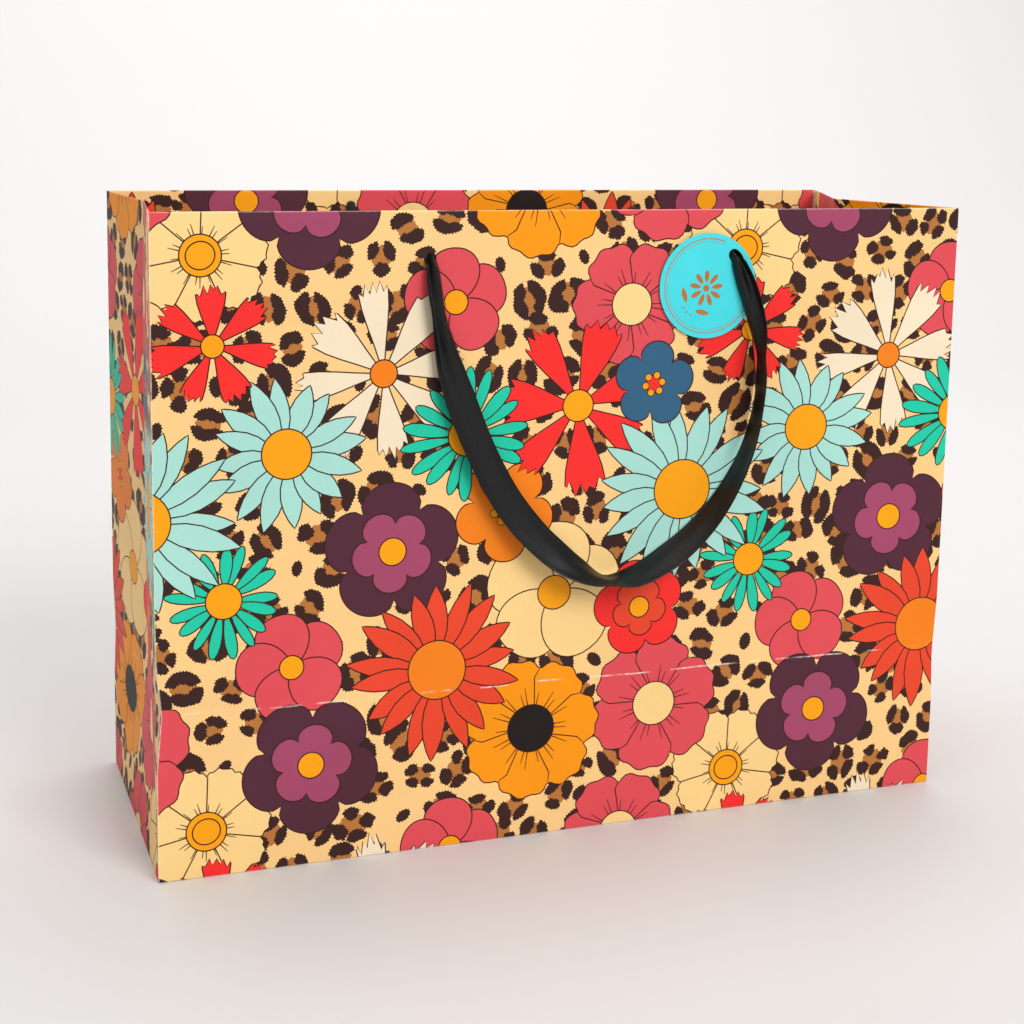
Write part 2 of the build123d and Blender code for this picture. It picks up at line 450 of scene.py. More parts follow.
    def _draw_rosette(self, centre: Points, size: float, turn: float) -> None:
        """A brown patch half closed in by two to four dark blotches."""
        patch = self._furred(disc(6.3 * size, 14, 0.84), 1.6)
        self._fill(placed(patch, tuple(centre), turn), Ink.SPOT_BROWN)
        count = int(self.rng.choice([2, 2, 3, 3, 4]))
        start = self.rng.uniform(0, 2 * pi)
        for _ in range(count):
            gap = self.rng.uniform(0.1, 0.55)
            sweep = (2 * pi / count - gap) * self.rng.uniform(0.82, 1.02)
            angles = np.linspace(start, start + sweep, 9)
            swell = np.sin(np.linspace(0.35, pi - 0.35, 9)) ** 0.6
            outer = size * (7.0 + 2.2 * swell * self.rng.uniform(0.7, 1.3, 9))
            inner = size * (4.7 - 2.2 * swell * self.rng.uniform(0.6, 1.3, 9))
            outline = np.concatenate([arc(outer, angles), arc(inner, angles)[::-1]])
            outline = placed(outline * np.array([1.08, 0.86]), tuple(centre), turn)
            self._fill(self._furred(outline), Ink.SPOT_DARK)
            start += 2 * pi / count + self.rng.uniform(-0.15, 0.15)

    def _draw_flower(self, flower: Flower) -> None:
        """Draw one flower, petals first and heart last."""
        centre, turn = (flower.x, flower.y), radians(flower.turn)
        painters = {
            Bloom.POINTED_RAYS: self._rays,
            Bloom.ROUND_RAYS: self._rays,
            Bloom.TORN_RAYS: self._torn_rays,
            Bloom.FIVE_ROUND: self._round_petals,
            Bloom.SCALLOPED: self._scalloped,
            Bloom.RUFFLED: self._ruffled,
            Bloom.TWO_TIERED: self._two_tiered,
            Bloom.STAMENS: self._with_stamens,
        }
        painters[flower.bloom](flower, centre, turn)

    def _heart(self, flower: Flower, centre: Pair) -> None:
        """The outlined disc in the middle of a flower."""
        outline = disc(flower.radius * flower.heart_share, 36)
        self._outlined(placed(outline, centre, 0.3), flower.heart)

    def _rays(self, flower: Flower, centre: Pair, turn: float) -> None:
        """A ring of narrow petals, each a little over the one before."""
        pointed = flower.bloom is Bloom.POINTED_RAYS
        root = 0.6 * flower.radius * flower.heart_share
        pitch = 2 * pi / flower.petals
        width = flower.radius * pitch * (0.71 if pointed else 0.55)
        belly, point = (0.8, 0.92) if pointed else (0.9, 0.52)
        for number in range(flower.petals):
            length = flower.radius * (1 + 0.07 * sin(5.1 * number + flower.x)) - root
            girth = 1 + 0.1 * sin(4.1 * number + flower.x)
            outline = petal(root, length, width * girth, belly, point)
            angle = turn + number * pitch + 0.05 * sin(3.3 * number + flower.y)
            self._outlined(placed(outline, centre, angle), flower.ink)
        self._heart(flower, centre)

    def _torn_rays(self, flower: Flower, centre: Pair, turn: float) -> None:
        """Separate wedge petals with torn ends."""
        pitch = 2 * pi / flower.petals
        for number in range(flower.petals):
            uneven = 1 + 0.06 * sin(4.3 * number + flower.y)
            breadth = flower.radius * pitch * 0.24 * (1 + 0.16 * sin(2.7 * number))
            root = 0.5 * flower.radius * flower.heart_share
            outline = torn_petal(root, flower.radius * uneven, breadth, 5, self.rng)
            self._outlined(placed(outline, centre, turn + number * pitch), flower.ink)
        self._heart(flower, centre)

    def _round_petals(self, flower: Flower, centre: Pair, turn: float) -> None:
        """Broad round petals, each lying over the one before."""
        pitch = 2 * pi / flower.petals
        for number in range(flower.petals):
            outline = petal(0.0, flower.radius, 0.98 * flower.radius, 0.62, 0.46, 16)
            self._outlined(placed(outline, centre, turn + number * pitch), flower.ink)
        self._heart(flower, centre)

    def _ticks(self, flower: Flower, centre: Pair, turn: float, count: int, reach: float) -> None:
        """Short radial lines round the heart."""
        start = flower.radius * flower.heart_share
        for number in range(count):
            end = start + start * reach * (1.0 if number % 2 else 0.7)
            root = start * 0.9
            line = np.array([(root, -0.3), (end, -0.16), (end, 0.16), (root, 0.3)])
            angle = turn + (number + 0.25 * (number % 3)) * 2 * pi / count
            self._fill(placed(line, centre, angle), Ink.LINE)

    def _scalloped(self, flower: Flower, centre: Pair, turn: float) -> None:
        """Separate petals with waved ends, and a heart with a ring in it."""
        pitch = 2 * pi / flower.petals
        spread = pitch * 0.52
        angles = np.linspace(-spread, spread, 15)
        share = np.abs(angles / spread)
        for number in range(flower.petals):
            wave = 1 - 0.17 * share**3 - 0.022 * np.cos(5.5 * pi * share)
            wave = wave + 0.03 * np.sin(2 * angles + number)
            tip = arc(flower.radius * wave, angles)
            outline = np.concatenate([[(1.0, -0.3)], tip, [(1.0, 0.3)]])
            self._outlined(placed(outline, centre, turn + number * pitch), flower.ink)
        self._ticks(flower, centre, turn, 3 * flower.petals, 0.55)
        self._heart(flower, centre)
        ring = disc(flower.radius * flower.heart_share * 0.7, 30, 0.94)
        self._outlined(placed(ring, centre, 0.4), flower.heart)

    def _ruffled(self, flower: Flower, centre: Pair, turn: float) -> None:
        """One broad outline with a ruffled edge, seams between its petals and short lines."""
        outline = lobed(flower.radius, flower.petals, 0.16, 0.022, 96)
        self._outlined(placed(outline, centre, turn), flower.ink)
        start, reach = flower.radius * flower.heart_share, flower.radius * 0.86
        middle, bend = 0.6 * (start + reach), 0.06 * flower.radius
        seam = np.array([
            (start, -0.28), (middle, bend - 0.3), (reach, -0.2),
            (reach, 0.2), (middle, bend + 0.3), (start, 0.28),
        ])
        for number in range(flower.petals):
            angle = turn + (number + 0.5) * 2 * pi / flower.petals
            self._fill(placed(seam, centre, angle), Ink.LINE)
        self._ticks(flower, centre, turn, 3 * flower.petals, 0.75)
        self._heart(flower, centre)

    def _two_tiered(self, flower: Flower, centre: Pair, turn: float) -> None:
        """A lobed flower with a smaller one of another ink on it."""
        outer = lobed(flower.radius, flower.petals, 0.30, 0.0)
        self._outlined(placed(outer, centre, turn), flower.ink)
        inner = lobed(0.60 * flower.radius, flower.petals, 0.32, 0.0, 70)
        self._outlined(placed(inner, centre, turn + 0.5), flower.second)
        self._heart(flower, centre)

    def _with_stamens(self, flower: Flower, centre: Pair, turn: float) -> None:
        """Five round petals with a ring of small dots for stamens."""
        outer = lobed(flower.radius, flower.petals, 0.36, 0.0)
        self._outlined(placed(outer, centre, turn), flower.ink)
        self._heart(flower, centre)
        ring = flower.radius * 0.21
        spot = disc(flower.radius * 0.085, 10)
        for number in range(6):
            angle = number * pi / 3 + 0.2
            place = (centre[0] + ring * cos(angle), centre[1] + ring * sin(angle))
            self._outlined(placed(spot, place, 0), flower.second, 0.4)


# --- Flat mesh from outlines ---


@dataclass
class FlatMesh:
    """Triangles in the plane, with the label of the topmost fill of each."""

    points: Points
    triangles: Points
    label: Points


def inside(region: Points, places: Points) -> Points:
    """Whether each place lies inside a closed outline, by counting crossings.

    Args:
        region: Corners of the outline.
        places: Points to test.

    Returns:
        One truth value for each place.
    """
    found = np.zeros(len(places), bool)
    for (x0, y0), (x1, y1) in zip(region, np.roll(region, -1, axis=0)):
        crosses = (y0 > places[:, 1]) != (y1 > places[:, 1])
        rise = (y1 - y0) if y1 != y0 else 1e-12
        found ^= crosses & (places[:, 0] < x0 + (places[:, 1] - y0) * (x1 - x0) / rise)
    return found


def divided(outline: Points, spacing: float) -> Points:
    """Add corners along the long sides of a closed outline.

    Args:
        outline: Corners of the outline.
        spacing: Greatest distance between two corners, in millimetres.

    Returns:
        The same outline with more corners.
    """
    parts = []
    for start, end in zip(outline, np.roll(outline, -1, axis=0)):
        share = np.linspace(0, 1, int(np.linalg.norm(end - start) / spacing) + 1, endpoint=False)
        parts.append(start + share[:, None] * (end - start))
    return np.concatenate(parts)


def cut(corners: Points, edges: list[tuple[int, int]], merge: float) -> tuple[Points, Points]:
    """Constrained triangulation of the plane, as arrays.

    Args:
        corners: Points of the plane.
        edges: Lines that triangle edges follow, as numbers of corners.
        merge: Distance under which two corners become one.

    Returns:
        Corners and triangles.
    """
    points = [Vector(point) for point in corners.tolist()]
    found = delaunay_2d_cdt(points, edges, [], 0, merge, False)
    places = np.array([(point.x, point.y) for point in found[0]])
    return places, np.array([triangle for triangle in found[2] if len(triangle) == 3])


def topmost(places: Points, shapes: list[Points], labels: list[int]) -> Points:
    """Label of the last shape that covers each place.

    Args:
        places: Points to label.
        shapes: Outlines, the first at the bottom.
        labels: Label of each outline.

    Returns:
        One label for each place, or -1 where no outline covers it.
    """
    order = np.argsort(places[:, 0])
    ordered = places[order]
    found = np.full(len(places), -1)
    for shape, label in zip(shapes, labels):
        low, high = shape.min(axis=0), shape.max(axis=0)
        start, end = np.searchsorted(ordered[:, 0], (low[0], high[0]))
        level = ordered[start:end, 1]
        near = np.nonzero((level > low[1]) & (level < high[1]))[0] + start
        if len(near):
            found[near[inside(shape, ordered[near])]] = label
    result = np.empty_like(found)
    result[order] = found
    return result


def triangulate(
    region: Points,
    fills: list[Points],
    labels: list[int],
    folds: list[Line],
    spacing: float,
) -> FlatMesh:
    """Cut a flat region into triangles along the fills' visible edges and along every fold.

    Args:
        region: Corners of the region.
        fills: Outlines of the fills, the first at the bottom.
        labels: Label of the bare region, and then of each fill. A label below 0 is a hole.
        folds: Straight lines that triangle edges follow.
        spacing: Spacing of the extra points that let the sheet bend.

    Returns:
        The triangles inside the region, each with its topmost fill's label.
    """
    shapes = [region] + fills

    def labelled(corners: Points, triangles: Points) -> Points:
        """Label of each triangle's middle, or -1 outside the region."""
        centres = corners[triangles].mean(axis=1)
        return np.where(inside(region, centres), topmost(centres, shapes, labels), -1)

    lines, total = [], 0
    for shape in shapes:
        count = len(shape)
        lines += [(total + step, total + (step + 1) % count) for step in range(count)]
        total += count
    corners, triangles = cut(np.concatenate(shapes), lines, 0.01)
    label = labelled(corners, triangles)
    # Only edges between two labels are kept, so what a later fill covers costs nothing.
    sides = np.sort(triangles[:, [0, 1, 1, 2, 2, 0]].reshape(-1, 2), axis=1)
    side_label = np.repeat(label, 3)
    order = np.lexsort((sides[:, 1], sides[:, 0]))
    sides, side_label = sides[order], side_label[order]
    single, number, count = np.unique(sides, axis=0, return_index=True, return_counts=True)
    following = np.minimum(number + 1, len(side_label) - 1)
    second = np.where(count > 1, side_label[following], -1)
    shown = single[side_label[number] != second]
    used, renumbered = np.unique(shown, return_inverse=True)
    lines = [tuple(pair) for pair in renumbered.reshape(-1, 2).tolist()]
    groups, total = [corners[used]], len(used)
    for start, end in folds:
        parts = int(np.hypot(end[0] - start[0], end[1] - start[1]) / spacing) + 1
        share = np.linspace(0, 1, parts + 1)[:, None]
        groups.append(np.array(start) + share * (np.array(end) - np.array(start)))
        lines += [(total + step, total + step + 1) for step in range(parts)]
        total += parts + 1
    low, high = region.min(axis=0), region.max(axis=0)
    across, along = (np.arange(low[k] + spacing / 2, high[k], spacing) for k in range(2))
    grid = np.stack(np.meshgrid(across, along), axis=-1).reshape(-1, 2)
    groups.append(grid[inside(region, grid)])
    corners, triangles = cut(np.concatenate(groups), lines, 0.02)
    label = labelled(corners, triangles)
    used, numbers = np.unique(triangles[label >= 0], return_inverse=True)
    return FlatMesh(corners[used], numbers.reshape(-1, 3), label[label >= 0])


# --- Shape of the bag ---


@dataclass(frozen=True)
class BagShape:
    """Sizes of the bag in millimetres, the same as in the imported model, and how it settles."""

    half_width: float
    half_depth: float
    height: float
    paper: float = 0.3
    card: float = 0.8
    hem: float = 40.0
    rim_clearance: float = 2.5
    tab: float = 15.0
    overlap: float = 36.0
    end_flap: float = 88.0
    end_corner: float = 14.0
    fold_radius: float = 0.7
    left_tuck: float = 8.0
    right_tuck: float = 30.0
    hole_x: float = 76.5
    hole_drop: float = 22.0
    hole_radius: float = 3.0
    crease_height: float = 77.0
    # How far the paper stops short of the middle plane where a gusset folds in.
    crease_gap: float = 0.15
    # Give of the paper: bows of the walls, the ridge at the fold-flat crease, and waves.
    front_bow: float = 2.1
    back_bow: float = -1.6
    front_ridge: float = -0.75
    back_ridge: float = 0.9
    waviness: float = 0.16
    side_swell: float = 1.6
    # Which corner is dented, at what height, and how far it moves across and back.
    dents: tuple[tuple[float, ...], ...] = (
        (-1, -1, 79.0, 2.6, 1.7),
        (1, -1, 73.0, -0.9, 0.5),
        (-1, 1, 76.0, 0.9, -0.8),
        (1, 1, 80.0, -1.2, -0.9),
    )

    @property
    def slope(self) -> float:
        """How much a wall leans in for each millimetre of height."""
        tucks = (self.left_tuck, self.right_tuck)
        narrow = [self.half_depth - sqrt(self.half_depth**2 - tuck**2) for tuck in tucks]
        return sum(narrow) / 2 / self.height

    @property
    def rim(self) -> float:
        """Thickness of the rim: two papers with the stiffener between them."""
        return 2 * self.paper + self.card

    def wall(self, height: Any, layer: float = 0.0) -> Any:
        """Distance from the middle plane to a layer of the front or back wall."""
        return self.half_depth - self.slope * height - layer

    def settle(self, places: Points) -> Points:
        """Let the folded paper bow, dent and crease as a handled bag does.

        Args:
            places: Points of the folded sheets, in the bag's own directions.

        Returns:
            The same points after the paper has given.
        """
        x, y, z = places[:, 0], places[:, 1], places[:, 2]
        moved = np.zeros_like(places)
        free = np.clip(z / 265, 0, 1)
        middle = np.cos(pi * np.clip(x / (2 * self.half_width), -0.5, 0.5))
        belly = np.sin(pi * free) * middle
        near_front = np.clip(1 - (y + self.wall(z)) / 12, 0, 1)
        near_back = np.clip(1 - (self.wall(z) - y) / 12, 0, 1)
        moved[:, 1] += self.front_bow * belly * near_front + self.back_bow * belly * near_back
        ridge = np.clip(1 - np.abs(z - self.crease_height) / 26, 0, 1) * middle
        moved[:, 1] += self.front_ridge * ridge * near_front + self.back_ridge * ridge * near_back
        wave = np.sin(x / 31 + 0.4) * np.sin(z / 43 + 1.1) + 0.6 * np.sin(x / 17 + z / 23)
        calm = np.sin(pi * free) ** 0.5
        moved[:, 1] += self.waviness * wave * calm * (near_front + near_back)
        near_side = np.clip(1 - (self.half_width - np.abs(x)) / 40, 0, 1)
        near_side = near_side * np.clip(1 - np.abs(y) / self.half_depth, 0, 1)
        swell = np.sin(pi * np.clip(z / self.height, 0, 1)) * near_side
        moved[:, 0] += np.where(x < 0, -1.0, 0.6) * swell * self.side_swell
        for corner_x, corner_y, height, depth_x, depth_y in self.dents:
            from_x = np.abs(x - corner_x * self.half_width)
            from_y = np.abs(y - corner_y * self.wall(z))
            dent = np.clip(1 - np.abs(z - height) / 27 - from_x / 64 - from_y / 34, 0, 1)
            moved[:, 0] += depth_x * dent
            moved[:, 1] += depth_y * dent
        return places + moved


@dataclass
class FoldedSheet:
    """One printed sheet: a wall, the gusset on its right, their hems and flaps and a glue tab.

    Flat coordinates run across the wall from -half_width, on over the gusset and the tab, and
    up from the bottom crease. The wall faces -Y; the sheet for the back is turned half round.
    """

    shape: BagShape
    tuck: float
    turned: bool
    flap_level: float
    # The glue tab lies this far behind the wall that covers it, and gets there over this width.
    tab_inset: float = 0.9
    tab_ease: float = 4.0
    # Where a long bottom flap starts to climb over the other one, and over what length.
    flap_climb: float = 46.0
    flap_ease: float = 10.0
    end_flap_level: float = 0.62
    slit: float = 1.5

    def __post_init__(self) -> None:
        """Work out the crease points of the gusset."""
        s = self.shape
        depth = 2 * s.half_depth
        self.near = s.half_width
        self.middle = s.half_width + depth / 2
        self.far = s.half_width + depth
        crease = s.half_depth - s.paper - s.crease_gap
        top = s.wall(s.height, s.paper) - s.crease_gap
        peak_height = s.paper + sqrt(crease**2 - self.tuck**2)
        peak_tuck = self.tuck * (s.wall(peak_height, s.paper) - s.crease_gap) / top
        self.peak = np.array([s.half_width - peak_tuck, 0.0, peak_height])
        self.rim_middle = np.array([s.half_width - self.tuck, 0.0, s.height])

    def _edge(self, height: Points, sign: int) -> Points:
        """Points of the gusset's outer edge, at the near wall or inside the far one."""
        layer = 0.0 if sign < 0 else self.shape.paper
        wall = self.shape.wall(height, layer)
        return np.stack([np.full_like(height, self.shape.half_width), sign * wall, height], axis=1)

    def _wall_point(self, across: Points, height: Points) -> Points:
        """Points of the folded sheet below the rim, with sharp creases.

        Args:
            across: Flat coordinate across the sheet.
            height: Flat coordinate up the sheet.

        Returns:
            Points in space.
        """
        s = self.shape
        half = s.half_depth
        panel = np.stack([across, -s.wall(height), height], axis=1)
        low = np.clip(height, 0, half)
        lift = np.clip((height - half) / (s.height - half), 0, None)[:, None]
        middle_line = self.peak + lift * (self.rim_middle - self.peak)
        up = (low / half)[:, None]
        near_foot, far_foot = self._edge(np.zeros(1), -1), self._edge(np.zeros(1), 1)
        near_diagonal = near_foot + up * (self.peak - near_foot)
        far_diagonal = far_foot + up * (self.peak - far_foot)
        above = (height >= half)[:, None]
        near_inner = np.where(above, middle_line, near_diagonal)
        far_inner = np.where(above, middle_line, far_diagonal)
        left, right = self.near + low, self.far - low
        near_edge, far_edge = self._edge(height, -1), self._edge(height, 1)
        share = ((across - self.near) / np.maximum(low, 1e-6))[:, None]
        near_half = near_edge + share * (near_inner - near_edge)
        share = ((across - left) / np.maximum(right - left, 1e-6))[:, None]
        base = near_diagonal + share * (far_diagonal - near_diagonal)
        share = ((across - right) / np.maximum(self.far - right, 1e-6))[:, None]
        far_half = far_inner + share * (far_edge - far_inner)
        beyond = across - self.far
        inward = self.tab_inset * np.clip(beyond / self.tab_ease, 0, 1)
        tab = np.stack([s.half_width - beyond, s.wall(height, s.paper + inward), height], axis=1)
        choice = [(across <= line)[:, None] for line in (self.near, left, right, self.far)]
        return np.select(choice, [panel, near_half, base, far_half], tab)

    def _hem_step(self, across: Points) -> Points:
        """How far and which way the turned-in hem lies inside the wall, mitred at the creases."""
        s = self.shape
        wall_inward = np.array([0.0, 1.0, 0.0])
        run = np.array([-self.tuck, s.wall(s.height), 0.0])
        near_inward = np.array([-run[1], run[0], 0.0]) / np.linalg.norm(run)
        far_inward = near_inward * np.array([1.0, -1.0, 1.0])
        thin = 2 * s.paper

        def mitre(first: Points, deep: float, second: Points, shallow: float) -> Points:
            """The step that is deep along one normal and shallow along the other."""
            system = np.array([first[:2], second[:2]])
            solved = np.linalg.solve(system, np.array([deep, shallow]))
            return np.array([solved[0], solved[1], 0.0])

        corner = mitre(wall_inward, s.rim, near_inward, thin)
        fold = mitre(near_inward, thin, far_inward, thin)
        reach = 3.0

        def toward(line: float, side: int) -> Points:
            """Share of a mitre felt at a distance from its crease."""
            return np.clip(1 - side * (across - line) / reach, 0, 1)[:, None]

        panel = s.rim * wall_inward + toward(self.near, -1) * (corner - s.rim * wall_inward)
        near = thin * near_inward
        near_part = near + toward(self.near, 1) * (corner - near)
        near_part = near_part + toward(self.middle, -1) * (fold - near)
        far = thin * far_inward
        far_part = far + toward(self.middle, 1) * (fold - far)
        choice = [(across <= self.near)[:, None], (across <= self.middle)[:, None]]
        return np.select(choice, [panel, near_part], far_part)

    def _sharp(self, flat: Points) -> Points:
        """Fold flat points with sharp creases, hems and flaps included."""
        s = self.shape
        across, up = flat[:, 0], flat[:, 1]
        step = self._hem_step(across)
        depth = np.linalg.norm(step, axis=1)
        over = np.clip((up - s.height) / depth, 0, 1)[:, None]
        turned_in = s.height - np.clip(up - s.height - depth, 0, None)
        height = np.where(up > s.height, turned_in, np.clip(up, 0, None))
        place = self._wall_point(across, height) + over * step
        fold = np.clip(-up, 0, None)
        climb = np.clip((fold - self.flap_climb) / self.flap_ease, 0, 1)
        level = np.where(fold > self.flap_climb, climb * self.flap_level, 0.0)
        wall_flap = np.stack([across, -s.half_depth + fold, level], axis=1)
        share = (across - self.near) / (self.far - self.near)
        side = (2 * share - 1) * (s.half_depth - 0.6)
        lift = self.end_flap_level * np.clip(fold / 1.2, 0, 1)
        end_flap = np.stack([s.half_width - fold, side, lift], axis=1)
        flap = np.where((across <= self.near)[:, None], wall_flap, end_flap)
        return np.where((up < 0)[:, None], flap, place)

    def fold(self, flat: Points) -> Points:
        """Fold flat points into the settled bag, with rounded creases.

        Args:
            flat: Flat points, in millimetres.

        Returns:
            Points in space, in millimetres.
        """
        reach = self.shape.fold_radius
        offsets = np.array([-1.0, -0.5, 0.0, 0.5, 1.0]) * reach
        weights = np.array([0.125, 0.25, 0.25, 0.25, 0.125])
        total = np.zeros((len(flat), 3))
        for x_offset, x_weight in zip(offsets, weights):
            for y_offset, y_weight in zip(offsets, weights):
                total += x_weight * y_weight * self._sharp(flat + (x_offset, y_offset))
        if self.turned:
            total *= np.array([-1.0, -1.0, 1.0])
        return self.shape.settle(total)

    def face_normals(self, flat: Points) -> Points:
        """Unit normals of the printed face at flat points."""
        small = 0.35
        along_x = self.fold(flat + (small, 0)) - self.fold(flat - (small, 0))
        along_y = self.fold(flat + (0, small)) - self.fold(flat - (0, small))
        return unit(np.cross(along_x, along_y))

    def outline(self) -> Points:
        """Corners of the flat sheet, anticlockwise, with the slits between its flaps and hems."""
        s = self.shape
        left, near, far = -s.half_width, self.near, self.far
        rim_top = s.height + s.rim
        flap = s.half_depth + s.overlap / 2
        hem_end = rim_top + s.hem
        thin_end = s.height + 2 * s.paper + s.hem
        return np.array([
            (left, 0.0),
            (left + self.slit, -0.2),
            (left + self.slit, -flap),
            (near - self.slit, -flap),
            (near - self.slit, -0.2),
            (near, 0.0),
            (near + 1.0, -0.2),
            (near + 1.0 + s.end_corner, -s.end_flap),
            (far - 1.0 - s.end_corner, -s.end_flap),
            (far - 1.0, -0.2),
            (far, 0.0),
            (far, 1.9),
            (far + s.tab, 1.9),
            (far + s.tab, s.height - s.hem - 1.0),
            (far, s.height - s.hem - 1.0),
            (far, s.height),
            (far - 0.5, s.height + 0.7),
            (far - 0.5, thin_end),
            (near, thin_end),
            (near, hem_end),
            (left + s.rim_clearance, hem_end),
            (left + s.rim_clearance, s.height + 0.7),
            (left, s.height),
        ])

    def folds(self) -> list[Line]:
        """Lines that the triangles follow: both sides of each crease, and the soft dents."""
        s = self.shape
        half = s.half_depth
        left, right = -s.half_width, self.far + s.tab
        top = s.height + s.rim + s.hem
        lines = []
        for offset in (-0.7, -0.25, 0.25, 0.7):
            near, middle, far = self.near + offset, self.middle + offset, self.far + offset
            lines += [
                ((near, -0.2), (near, top)),
                ((far, 0.2), (far, s.height + 0.2)),
                ((middle, half), (middle, top)),
                ((left, offset), (right, offset)),
                ((near, 0.0), (middle, half)),
                ((far, 0.0), (middle, half)),
            ]
        for offset in (-0.7, 0.0, 0.7, 1.3, 2.1):
            lines.append(((left, s.height + offset), (self.far, s.height + offset)))
        crease = s.crease_height
        for height in (crease - 0.6, crease, crease + 0.6, 51.0, 103.0, 268.0):
            lines.append(((left, height), (self.near, height)))
        for height in range(46, 114, 6):
            lines.append(((self.far, float(height)), (right, float(height))))
        dent = (left + 64, 79.0)
        lines += [((left, 52.0), dent), ((left, 106.0), dent)]
        return lines


# --- Meshes ---


def mesh_object(
    name: str,
    places: Points,
    faces: Iterable[Iterable[int]],
    materials: list[bpy.types.Material],
    slots: Optional[Points] = None,
    normals: Optional[Points] = None,
) -> bpy.types.Object:
    """Make a mesh object from points in millimetres.

    Args:
        name: Name of the piece.
        places: Points in millimetres.
        faces: Corner numbers of each face.
        materials: Materials in the order of their slots.
        slots: Slot number of each face.
        normals: Unit normal of each point, where the shape is known better than its triangles.

    Returns:
        The object, linked to the scene.
    """
    mesh = bpy.data.meshes.new(name)
    mesh.from_pydata((places * MM).tolist(), [], [tuple(int(n) for n in face) for face in faces])
    for material in materials:
        mesh.materials.append(material)
    if slots is not None:
        mesh.polygons.foreach_set("material_index", np.asarray(slots, np.int32))
    mesh.polygons.foreach_set("use_smooth", np.ones(len(mesh.polygons), bool))
    mesh.update()
    if normals is not None:
        mesh.normals_split_custom_set_from_vertices(normals.tolist())
    piece = bpy.data.objects.new(name, mesh)
    bpy.context.scene.collection.objects.link(piece)
    return piece


def set_map(piece: bpy.types.Object, name: str, per_point: Points) -> None:
    """Store a UV map on a piece from one pair of numbers for each of its points."""
    mesh = piece.data
    layer = mesh.uv_layers.new(name=name, do_init=False)
    corner = np.empty(len(mesh.loops), np.int32)
    mesh.loops.foreach_get("vertex_index", corner)
    layer.uv.foreach_set("vector", per_point[corner].astype(np.float32).ravel())


def set_inks(piece: bpy.types.Object, colours: Points) -> None:
    """Store the printed ink of each face on its corners, as a colour attribute."""
    mesh = piece.data
    attribute = mesh.color_attributes.new("ink", "FLOAT_COLOR", "CORNER")
    totals = np.empty(len(mesh.polygons), np.int32)
    mesh.polygons.foreach_get("loop_total", totals)
    corners = np.repeat(colours, totals, axis=0).astype(np.float32)
    attribute.data.foreach_set("color", corners.ravel())


# --- Finishes ---


# Settings of the nodes that the finishes share.
MULTIPLY, MAXIMUM = {"operation": "MULTIPLY"}, {"operation": "MAXIMUM"}
ABSOLUTE, ADD = {"operation": "ABSOLUTE"}, {"operation": "ADD"}
COLOUR_MIX = {"data_type": "RGBA"}


